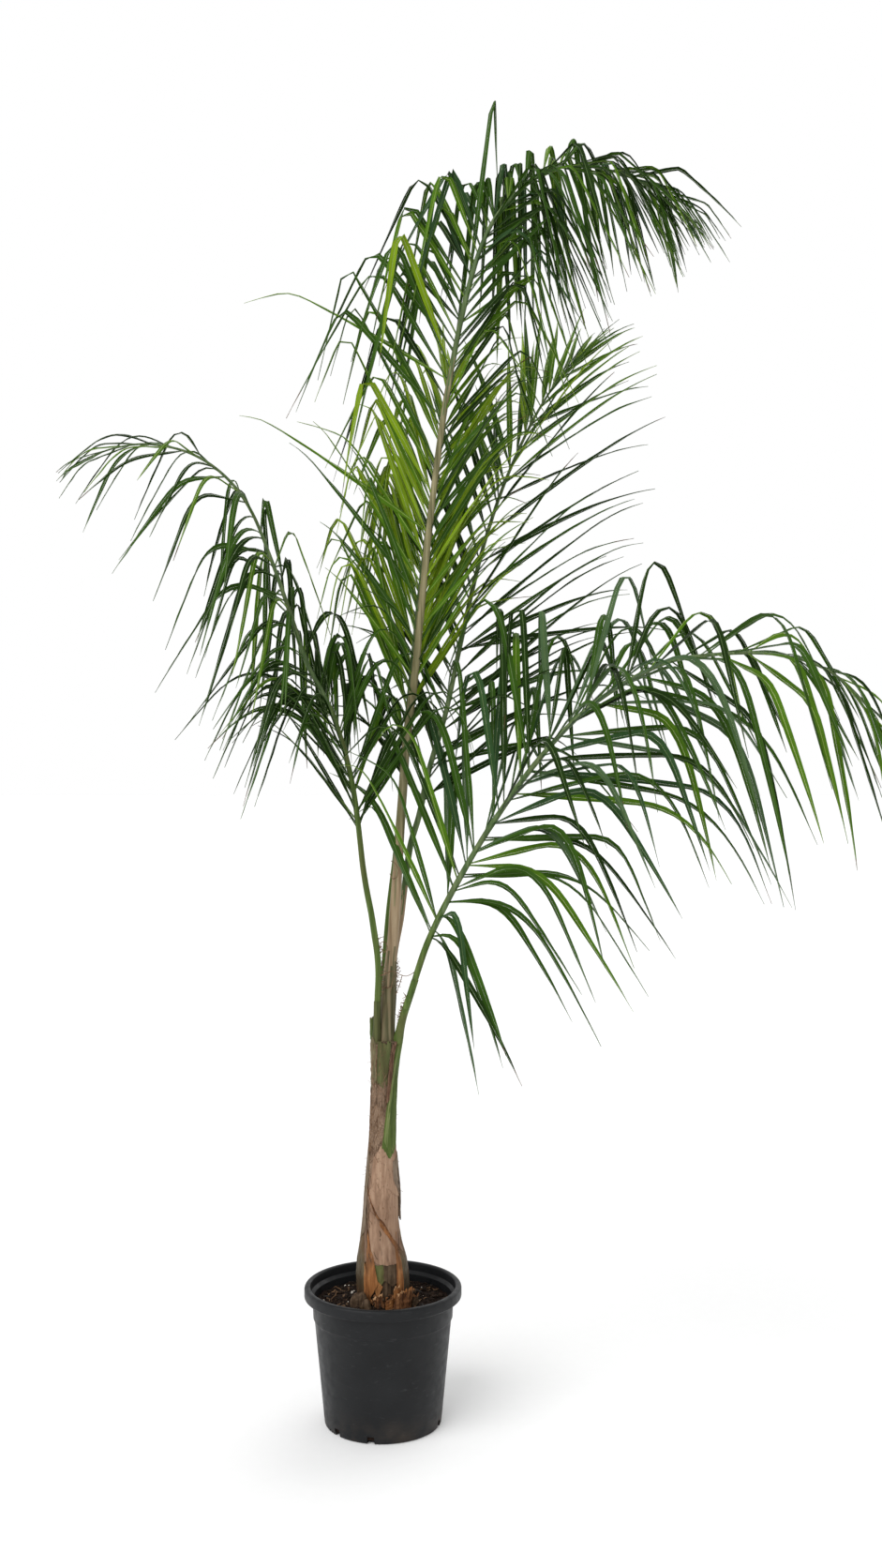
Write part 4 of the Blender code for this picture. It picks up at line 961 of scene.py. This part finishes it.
def make_trunk():
    """The trunk itself: upright fibres and hollows, mostly under its old sheaths."""
    turns = circle(TRUNK_SIDES)
    heights = np.linspace(TRUNK_FOOT, TRUNK_TOP, TRUNK_ROWS)[:, None]
    v = (heights - heights[0]) / (TRUNK_TOP - heights[0])
    u = turns / TURN
    relief = FINE_RELIEF * np.abs(Field(51, 54, 16)(u + .05 * v, v)) - TRUNK_INSET
    relief = relief + BROAD_RELIEF * Field(52, 9, 12)(u, v)
    foot = 1 - eased((heights - FOOT_FADE[0]) / (FOOT_FADE[1] - FOOT_FADE[0]))
    relief = relief - FOOT_RELIEF * foot * np.abs(Field(53, 16, 6)(u, v))
    points = trunk_points(heights, turns, relief)
    points[0, :, 2] = TRUNK_FOOT
    sheet = Sheet()
    sheet.grid(points, ["bark_dark" if h < NET_FOOT else "net" for h in heights[:-1, 0]], wrap=True)
    sheet.cap(points[0][::-1], "bark_dark")
    sheet.cap(points[-1], "petiole_moss")
    sheet.piece("trunk_bark", "bark", "trunk", sharp=60)


def plate(sheet, material, span, lows, highs, lift, thick, ragged, seed, edge=None, curl=0.0, rows=26,
        step=2.2, rim=.13, thin=0.0):
    """A thin curved sheath round part of the trunk, with ragged, lifting edges.

    `lows` and `highs` are its lower and upper edge from one side to the other;
    `edge` is the material of its two side strips, each as wide as `rim` of the
    whole, and `thin` is how much of its thickness is lost towards its top.
    """
    first, last, upper_first, upper_last = np.radians(span if len(span) == 4 else (*span, *span))
    across = np.linspace(0, 1, max(6, int(abs(span[1] - span[0]) / step)))
    rough = Field(seed, 48, 8)
    low, high = (np.interp(across, np.linspace(0, 1, len(keys)), keys) + ragged * rough(across * .9, v)
        for keys, v in ((lows, .1), (highs, .6)))
    share = np.linspace(0, 1, rows)[:, None]
    heights = low + (high - low) * share
    angles = ((first + (last - first) * across) * (1 - share)
        + (upper_first + (upper_last - upper_first) * across) * share)
    stand = lift + SHEATH_RELIEF * Field(seed + 1, 90, 10)(across, share)
    stand = stand + curl * np.abs(2 * across - 1) ** 6 + .6 * curl * (1 - eased(share / .1))
    body = thick * np.clip(np.minimum(across, 1 - across) * 9 + .25, 0, 1) * (1 - thin * share)
    outer = trunk_points(heights, angles, stand + body)
    inner = trunk_points(heights, angles, stand - .0004)
    loops = np.swapaxes(np.concatenate([outer, inner[::-1]]), 0, 1)
    edge = edge or material
    sheet.grid(loops, [edge if min(a, 1 - a) < rim else material for a in across[:-1]], wrap=True)
    sheet.cap(loops[0], edge)
    sheet.cap(loops[-1][::-1], edge)


def make_plates():
    sheet = Sheet()
    for i, row in enumerate(PLATES):
        plate(sheet, *row, 60 + 3 * i, curl=.0006)
    sheet.piece("trunk_sheaths", "sheath", sharp=50)


def make_foot_sheaths():
    """The thick old leaf bases that clasp the bulb, with orange inner edges."""
    for i, (side, (middle, spread, high)) in enumerate(FOOT_SHEATHS.items()):
        sheet = Sheet()
        span = (middle - spread / 2, middle + spread / 2)
        tops = [high - (high - TRUNK_FOOT) * .75 * abs(2 * a - .9) ** 1.6 for a in np.linspace(0, 1, 9)]
        plate(sheet, "olive", span, (TRUNK_FOOT, TRUNK_FOOT), tops, .0016, FOOT_SHEATH_THICK, 0.0, 90 + 3
            * i, edge="orange", rows=40, step=1.6, rim=.17, thin=.8)
        name = "foot_sheath_" + side
        sheet.piece(name + "_skin", "sheath", name, sharp=50)


def make_green_sheath():
    """The living green sheath on the right, ending in a jagged torn edge."""
    sheet = Sheet()
    plate(sheet, "green_sheath", (-88, 34, -42, 46), (.568, .544, .562, .574, .592),
        (.772, .776, .776, .772), .0022, .003, .003, 120, rows=60, step=1.6)
    plate(sheet, "sheath_light", (-80, -66, -36, -29), (.58, .566), (.77, .774), .0048, .0008, .002, 124,
        rows=40)
    plate(sheet, "paper", (-66, 20), (.53, .528), (.566, .572), .003, .001, .012, 127)
    sheet.piece("green_sheath_skin", "petiole", "green_sheath", sharp=50)


# Stubs of old leaves: foot, top, foot radius, top radius, flattening, paint of the side
# and of the top, how ragged the top is, rounded or not.
STUBS = {
    "old_base_left": ((-.041, -.052, TRUNK_FOOT), (-.043, -.055, .281), .013, .0105, .9, "bark_dark",
        "bark_dark", .004, True),
    "old_base_front": ((.033, -.06, TRUNK_FOOT), (.037, -.0645, .283), .012, .007, .7, "torn", "cut", .004,
        False),
    "cut_petiole": ((-.0205, .004, TRUNK_TOP + GAP), (-.0225, .004, .823), .0052, .004, .9, "petiole_green",
        "fibre", .004, False),
}
ROUNDED_ROUGH, TORN_ROUGH = .09, .15      # unevenness of a stub's side, as a share
ROUNDED_FROM, ROUNDED_OVER = .55, .47     # where a rounded stub's dome starts, and its depth
# More torn leaf bases: the same, then side paint, top paint, raggedness, rounded or not.
TORN_FOOT = SOIL_TOP - .004
TORN_STUBS = (
    ((-.05, -.046, TORN_FOOT), (-.054, -.048, .277), .015, .0105, .8, "bark_dark", "bark_mid", .002, True),
    ((-.03, -.06, TORN_FOOT), (-.034, -.063, .27), .011, .008, .8, "bark_mid", "bark_dark", .002, True),
    ((-.003, -.058, TORN_FOOT), (-.008, -.062, .275), .01, .0092, .6, "torn", "cut", .003, False),
    ((.014, -.061, TORN_FOOT), (.016, -.064, .268), .0085, .007, .7, "orange", "torn", .006, False),
    ((.045, -.055, TORN_FOOT), (.05, -.059, .284), .0135, .0115, .7, "torn", "orange", .007, False),
    ((.06, -.045, TORN_FOOT), (.066, -.048, .273), .01, .0075, .8, "bark_dark", "torn", .005, False),
    ((.027, -.052, TORN_FOOT), (.03, -.056, .291), .0095, .0062, .6, "orange", "cut", .005, False),
)


def stub(sheet, seed, foot, top, foot_radius, top_radius, flat, paint, top_paint, ragged, rounded):
    """A short tapering stub with fibrous sides and a broken or rounded top."""
    turns = circle(30)
    foot, top = np.array(foot), np.array(top)
    rough = Field(seed, 12, 8)
    rings = []
    for r in range(STUB_ROWS + 1):
        share = r / STUB_ROWS
        centre = foot + (top - foot) * share
        radius = foot_radius + (top_radius - foot_radius) * share
        if rounded and share > ROUNDED_FROM:
            radius *= math.sqrt(max(.05, 1 - ((share - ROUNDED_FROM) / ROUNDED_OVER) ** 2))
        radius = radius * (1 + (ROUNDED_ROUGH if rounded else TORN_ROUGH) * rough(turns / TURN, share))
        z = centre[2] + .5 * share * radius * np.cos(turns)
        if r >= STUB_ROWS - 1 and not rounded:
            z = z + ragged * rough(turns / TURN * 3, .5)
        rings.append(np.stack([centre[0] + radius * np.cos(turns), centre[1] + flat * radius
            * np.sin(turns), z], -1))
    crown = rings[-1].mean(axis=0) - np.array((0, 0, 0 if rounded else .35 * ragged))
    rings.append(crown + (rings[-1] - crown) * .5)
    rings.append(crown + (rings[-1] - crown) * .1)
    sheet.grid(np.array(rings), [paint] * STUB_ROWS + [top_paint] * 2, wrap=True)
    sheet.cap(rings[0][::-1], paint)
    sheet.cap(rings[-1], top_paint)


def make_stubs():
    for i, (name, row) in enumerate(STUBS.items()):
        sheet = Sheet()
        stub(sheet, 130 + i, *row)
        sheet.piece(name + "_skin", "bark", name, sharp=45)


def make_torn_foot():
    """Torn scraps and stubs of old leaf bases round the foot of the trunk."""
    rng = Random(140)
    sheet = Sheet()
    for i in range(SCRAPS):
        front = i < FRONT_SCRAPS
        angle = math.radians(rng.uniform(-112, 5) if front else rng.uniform(0, 360))
        height = rng.uniform(.248, .272 if front else .258)
        centre = trunk_points(height, angle, rng.uniform(0.0, .018 if front else .01))
        kind = rng.choice(("torn", "torn", "bark_dark", "bark_dark", "orange", "chip"))
        lump(sheet, centre, rng.uniform(.0014, .0042), rng, kind, (1, .7, rng.uniform(.7, 1.5)))
    sheet.piece("torn_scraps", "bark", sharp=0)
    sheet = Sheet()
    for i, row in enumerate(TORN_STUBS):
        stub(sheet, 160 + i, *row)
    sheet.piece("torn_stubs", "bark", sharp=45)


def make_seams():
    """Curled edges and cracks of the papery sheaths."""
    sheet = Sheet()
    for paint, thick, out, places in SEAMS:
        angles, heights = np.array(places).T
        path = smooth_path(trunk_points(heights, np.radians(angles), out), 8)
        taper = np.sin(np.linspace(.25, np.pi - .25, len(path)))
        tube(sheet, path, thick * taper, 6, paint)
    sheet.piece("sheath_seams", "sheath", sharp=60)


def make_fibres():
    """Netted fibres on the trunk and loose threads round the leaf bases."""
    rng = Random(150)
    sheet = Sheet()
    steps = np.linspace(0, 1, 8)
    for _ in range(NET_FIBRES):
        angle = math.radians(rng.uniform(-175, -70) if rng.random() < .6 else rng.uniform(-70, 200))
        low = rng.uniform(.535, .735)
        if rng.random() < .25:
            low = rng.uniform(.4, .55)
        rise, turn = rng.uniform(.02, .07), rng.choice((-1, 1)) * rng.uniform(.2, 1.0)
        heights = np.minimum(low + rise * steps, TRUNK_TOP - .003)
        angles = angle + turn * steps + .06 * np.sin(7 * steps + rng.uniform(0, 6))
        lift = .0016 + .0014 * np.abs(np.sin(3 * steps + rng.uniform(0, 3)))
        tube(sheet, trunk_points(heights, angles, lift), rng.uniform(.0003, .0007), 4, "fibre")
    for _ in range(THREADS):
        angle = rng.uniform(0, TURN)
        path = [trunk_points(rng.uniform(.42, .76), angle, .001)]
        away = np.array((math.cos(angle), math.sin(angle), rng.uniform(-.6, .8)))
        for _ in range(6):
            away = away + np.array([rng.uniform(-.5, .5) for _ in range(3)])
            path.append(path[-1] + unit(away) * rng.uniform(.001, .0022))
        tube(sheet, smooth_path(path, 3), .0003, 4, "fibre")
    sheet.piece("trunk_fibres", "sheath", sharp=80)


# ---------------- the fronds

class Rib:
    """A frond's rib as a curve measured by its length."""

    def __init__(self, frond):
        self.frond = frond
        self.pts = smooth_path(frond.route)
        gaps = np.linalg.norm(np.diff(self.pts, axis=0), axis=1)
        self.along = np.concatenate([[0], np.cumsum(gaps)])
        self.length = self.along[-1]

    def at(self, place):
        where = place * self.length
        return np.array([np.interp(where, self.along, self.pts[:, k]) for k in range(3)])

    def frame(self, place):
        """Direction, side and upper-face direction of the rib."""
        ahead, behind = min(1, place + TANGENT_STEP), max(0, place - TANGENT_STEP)
        tangent = unit(self.at(ahead) - self.at(behind))
        side = unit(np.cross(tangent, keyed(self.frond.face, place)))
        return tangent, side, np.cross(side, tangent)

    def half(self, place):
        return keyed(self.frond.half_width, place)[0]


def make_rib(frond, rib):
    """The stalk and rib of one frond, grooved on its upper face, from trunk to tip."""
    turns = circle(RIB_SIDES)
    groove = np.exp(-((turns - np.pi / 2) / .42) ** 2)
    rough = Field(frond.seed + 200, 7, 40)
    rings, kinds, flow = [], [], []
    rng = Random(frond.seed + 300)
    tongues = [rng.uniform(-BAND_TONGUE, BAND_TONGUE) for _ in turns]
    for place in np.linspace(0, 1, int(rib.length / RIB_STEP)):
        _, side, up = rib.frame(place)
        outline = (1.0 - (.3 if place < frond.leafy else .14) * groove) * (1 + .05 * np.cos(2 * turns))
        radius = (rib.half(place) * outline * (1 + .05 * rough(turns / TURN, place)))[:, None]
        rings.append(rib.at(place) + radius * (np.cos(turns)[:, None] * side + np.sin(turns)[:, None] * up))
        flow.append(np.stack([0 * turns + place * rib.length, turns / TURN], -1))
        here = [max(0.0, place + tongue + rng.uniform(-.006, .006)) for tongue in tongues]
        kinds.append([[name for start, name in RIB_PAINTS[frond.name] if spot >= start][-1]
            for spot in here])
    rings[0][:, 2] = TRUNK_TOP + GAP
    sheet = Sheet()
    sheet.grid(np.array(rings), kinds[:-1], wrap=True, flow=np.array(flow))
    sheet.cap(rings[0][::-1], kinds[0][0])
    sheet.cap(rings[-1], kinds[-1][0])
    sheet.piece("stalk_" + frond.name, "petiole", *STALK_NODES[frond.name], sharp=70)


def make_sleeves(ribs):
    """Sheaths that run from the trunk's top up each stalk, thinning as they climb."""
    sheet = Sheet()
    turns = circle(40)
    for i, (name, (paint, foot, low, wide, end, ragged)) in enumerate(SLEEVES.items()):
        rib = ribs[name]
        rough, fibre = Field(240 + i, 9, 9), Field(250 + i, 26, 7)
        start, lowest = np.array((*foot, low)), rib.at(0.0)
        path = [start + (lowest - start) * s for s in np.linspace(0, .9, 4)]
        path = smooth_path(path + [rib.at(end * s) for s in np.linspace(.12, 1, 5)], 8)
        path = path[np.linspace(0, len(path) - 1, SLEEVE_ROWS).astype(int)]
        rings = []
        for s, centre in zip(np.linspace(0, 1, SLEEVE_ROWS), path):
            radius = rib.half(end) + .0008 + (wide - rib.half(end)) * (1 - eased(s * 1.05)) ** 1.3
            stand = radius * (1 + .05 * rough(turns / TURN, s))
            stand = stand + .0005 * np.abs(fibre(turns / TURN, .3 * s))
            tall = ragged * s ** 6 * rough(turns / TURN * .97, .5)
            rings.append(centre + np.stack([stand * np.cos(turns), stand * np.sin(turns), tall], -1))
        rings.append(rings[-1] + (path[-1] - rings[-1]) * .25)
        sheet.grid(np.array(rings), [paint] * (len(rings) - 2) + ["fibre"], wrap=True)
    sheet.piece("stalk_sleeves", "sheath", sharp=60)


def make_fringes(ribs):
    """Dry brown strips and threads that hang off the stalks' sides."""
    rng = Random(260)
    sheet = Sheet()
    for name, first, last, way in FRINGES:
        rib = ribs[name]
        for _ in range(THREADS):
            place = rng.uniform(first, last)
            _, side, up = rib.frame(place)
            path = [rib.at(place) + way * side * rib.half(place) * .9 + up * rng.uniform(-.002, .003)]
            away = way * side * .8 + UP * rng.uniform(-.6, 1.2)
            for _ in range(rng.randint(4, 8)):
                away = unit(away + np.array([rng.uniform(-.7, .7) for _ in range(3)]))
                path.append(path[-1] + away * rng.uniform(.0008, .0026))
            tube(sheet, smooth_path(path, 3), rng.uniform(.0003, .0008), 4, "fibre")
    for path, thick in LOOSE_STRIPS:
        tube(sheet, smooth_path(path, 8), thick, 5, "fibre")
    sheet.piece("stalk_fringes", "sheath", sharp=80)


def blade_place(frond, u):
    """The place on the rib of a share of its leafy part."""
    return frond.leafy + (BLADE_END - frond.leafy) * u


def leaflet_habits(frond, seed):
    """Each leaflet of a frond: its root, its first direction and its habit."""
    rng = Random(seed)
    habits = []
    for side, table in ((-1, frond.left), (1, frond.right)):
        for i in range(frond.pairs):
            u = (i + .5 + rng.uniform(-.3, .3)) / frond.pairs
            length, turn, lift, fold_at, hang = keyed(table, u)
            fan = FAN_ROLLS[(i + (side > 0) * 3) % len(FAN_ROLLS)]
            habits.append(Habit(blade_place(frond, u), side, lift + fan + rng.uniform(-7, 7), turn
                + rng.uniform(-TURN_SPREAD, TURN_SPREAD), length * rng.uniform(.86, 1.08),
                min(.92, fold_at + rng.uniform(-.12, .12)), hang * rng.uniform(.55, 1.3),
                rng.uniform(-.9, .9)))
    return habits


def leaflet_spine(rib, habit, rng):
    """Points along a leaflet: out along its aim, then over its fold and down."""
    tangent, side, up = rib.frame(habit.place)
    roll, turn = math.radians(habit.roll), math.radians(habit.turn)
    away = habit.side * math.cos(roll) * side + math.sin(roll) * up
    aim = unit(math.cos(turn) * tangent + math.sin(turn) * away)
    share = (np.arange(SPINE_STEPS) + .5) / SPINE_STEPS
    span = SOFTNESS[rib.frond.name] * rng.uniform(.5, 1.4)
    over = eased((share - habit.fold_at) / span + .5)
    sway = .05 * np.sin(share * rng.uniform(3, 7) + rng.uniform(0, 6))
    ways = aim - (SAG * share * share + habit.hang * over)[:, None] * UP
    ways = units(ways + sway[:, None] * np.cross(aim, UP))
    start = rib.at(habit.place)
    steps = ways * habit.length / SPINE_STEPS
    return np.vstack([start, start + np.cumsum(steps, axis=0)]), aim, tangent


def leaflet(sheet, rib, habit, tone, rng):
    """One leaflet: two halves folded down from its midrib, ending in a thread."""
    pts, aim, tangent = leaflet_spine(rib, habit, rng)
    share = np.linspace(0, 1, len(pts))
    ways = units(np.gradient(pts, axis=0))
    at_root = unit(tangent - np.dot(tangent, aim) * aim)
    level = np.cross(aim, UP)
    level = unit(level) if np.linalg.norm(level) > .05 else at_root
    if np.dot(level, at_root) < 0:
        level = -level
    blend = (at_root * (1 - share[:, None]) + level * share[:, None] + (habit.twist * share)[:, None]
        * np.cross(ways, at_root))
    across = units(blend - np.sum(blend * ways, axis=1)[:, None] * ways)
    normal = np.cross(across, ways)
    widest = LEAFLET_WIDTH[rib.frond.name] * min(1, .42 + 1.35 * habit.length) * rng.uniform(.8, 1.12)
    taper = 1 - np.clip((share - WIDE_UNTIL) / (1 - WIDE_UNTIL), 0, 1) ** TAPER_POWER
    width = (LEAST_ROOT + (widest - LEAST_ROOT) * eased(share / .26)) * taper
    half = np.maximum(width, LEAST_TIP) / 2
    pitch = np.radians(44 - 22 * eased(share / .3) + 12 * eased((share - .5) / .5))
    ripple = RIPPLE * np.sin(share * rng.uniform(18, 40) + rng.uniform(0, 6))

    def line(where, drop, lift=0.0):
        return (pts + (across * (where * half * np.cos(pitch))[:, None]) + normal
            * (lift - drop * half * np.sin(pitch))[:, None])

    vein = MIDRIB / half.clip(MIDRIB, None)
    tip_row = int(len(pts) * rng.uniform(.88, .97))
    brown = len(pts) - 1 - tip_row if rng.random() < TIP_SHARE else 0
    green = len(pts) - 1 - brown
    for way in (-1, 1):
        outer = line(way * 1.0, 1.0) + normal * (ripple * way)[:, None]
        rows = [line(way * vein, vein), line(way * .55, .5), outer]
        flow = np.stack([np.repeat((share * habit.length)[:, None], 3, 1), np.array([0, .5, 1.0])[None, :]
            * half[:, None] * 2], -1)
        sheet.grid(np.stack(rows[::way], axis=1), [tone] * green + ["leaf_tip"] * brown, flow=flow)
    rib_kind = "vein_light" if tone in ("leaf_fresh", "leaf_bright") else "vein"
    ridge = [line(-vein, vein, .0002), line(0 * vein, 0 * vein, .0005), line(vein, vein, .0002)]
    sheet.grid(np.stack(ridge, axis=1), [rib_kind] * green + ["leaf_tip"] * brown)


def tone_table(frond, habit):
    """The frond's tones at a leaflet's place: its tip may be younger and lighter."""
    u = (habit.place - frond.leafy) / (1 - frond.leafy)
    table = TONES.get((frond.name, habit.side), TONES[frond.name])
    return table[max(start for start in table if u >= start)]


def make_leaflets(frond, rib):
    """All the leaflets of one frond: the source's own, and finer ones between them."""
    sheet = Sheet()
    rng = Random(frond.seed + 400)
    habits = leaflet_habits(frond, frond.seed)
    for u, side, lift, turn, length, fold_at, hang in frond.extra:
        habits.insert(0, Habit(blade_place(frond, u), side, lift, turn, length, fold_at, hang, .2))
    for k, (start, end, shorter) in enumerate(BETWEEN[frond.name]):
        for habit in leaflet_habits(frond, frond.seed + 20 * (k + 1)):
            if blade_place(frond, start) <= habit.place <= blade_place(frond, end):
                habits.append(habit._replace(length=habit.length * shorter))
    for habit in habits:
        tones = tone_table(frond, habit)
        leaflet(sheet, rib, habit, "leaf_" + rng.choices(list(tones), tones.values())[0], rng)
    slot = "leaf_young" if frond is YOUNG else "leaf"
    sheet.piece("leaflets_" + frond.name, slot, *BLADE_NODES[frond.name], sharp=75)


# ---------------- camera and light


def make_stage():
    half = FLOOR_SIZE / 2
    corners = [(x * half, y * half, -FLOOR_DROP) for x, y in ((-1, -1), (1, -1), (1, 1), (-1, 1))]
    floor = bare_mesh("floor", corners, [(0, 1, 2, 3)])
    p = Paint("floor_paper")
    shade = p.ramp(p.noise(40, 3), (.3, (.965, .965, .965)), (.7, (.975, .975, .975)))
    floor.data.materials.append(p.finish(shade, .9, (p.noise(900, 2), .0002, .1)))


def make_lights():
    """A white sky that dims towards its top, and two soft lamps."""
    world = bpy.data.worlds.new("studio")
    sky = Tree(world)
    light = sky.spread(sky.height("Generated"), SKY_LOW, SKY_HIGH, *SKY_TURN)
    sky.join(sky.tree.nodes["Background"], {"Color": (1, 1, 1, 1), "Strength": light})
    bpy.context.scene.world = world
    for name, place, aim, softness, strength in LAMPS:
        data = bpy.data.lights.new(name, "SUN")
        data.angle = math.radians(softness)
        data.energy = strength
        lamp = placed(bpy.data.objects.new(name, data))
        lamp.location = place
        away = unit(np.array(place) - np.array(aim))
        lamp.rotation_euler = (math.acos(away[2]), 0, math.atan2(away[0], -away[1]))


def make_camera():
    data = bpy.data.cameras.new("camera")
    data.lens = CAMERA_LENS
    data.sensor_width = SENSOR
    camera = placed(bpy.data.objects.new("camera", data))
    camera.location = CAMERA_PLACE
    camera.rotation_euler = (math.radians(CAMERA_TILT), 0, 0)
    bpy.context.scene.camera = camera
    bpy.context.scene.view_settings.view_transform = "Standard"


def build():
    for make in (make_camera, make_lights, make_stage, make_paints, make_pot, make_soil, make_trunk,
            make_plates, make_foot_sheaths, make_green_sheath, make_stubs, make_torn_foot, make_seams,
            make_fibres):
        make()
    ribs = {frond.name: Rib(frond) for frond in FRONDS}
    make_sleeves(ribs)
    make_fringes(ribs)
    for frond in FRONDS:
        make_rib(frond, ribs[frond.name])
        make_leaflets(frond, ribs[frond.name])


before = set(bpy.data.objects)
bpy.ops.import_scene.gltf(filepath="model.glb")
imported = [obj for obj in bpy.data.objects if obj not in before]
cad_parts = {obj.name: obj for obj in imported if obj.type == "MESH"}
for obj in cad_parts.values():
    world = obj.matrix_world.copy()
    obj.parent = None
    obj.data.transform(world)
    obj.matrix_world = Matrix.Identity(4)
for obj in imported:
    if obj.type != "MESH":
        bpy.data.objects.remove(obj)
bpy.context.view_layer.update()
build()
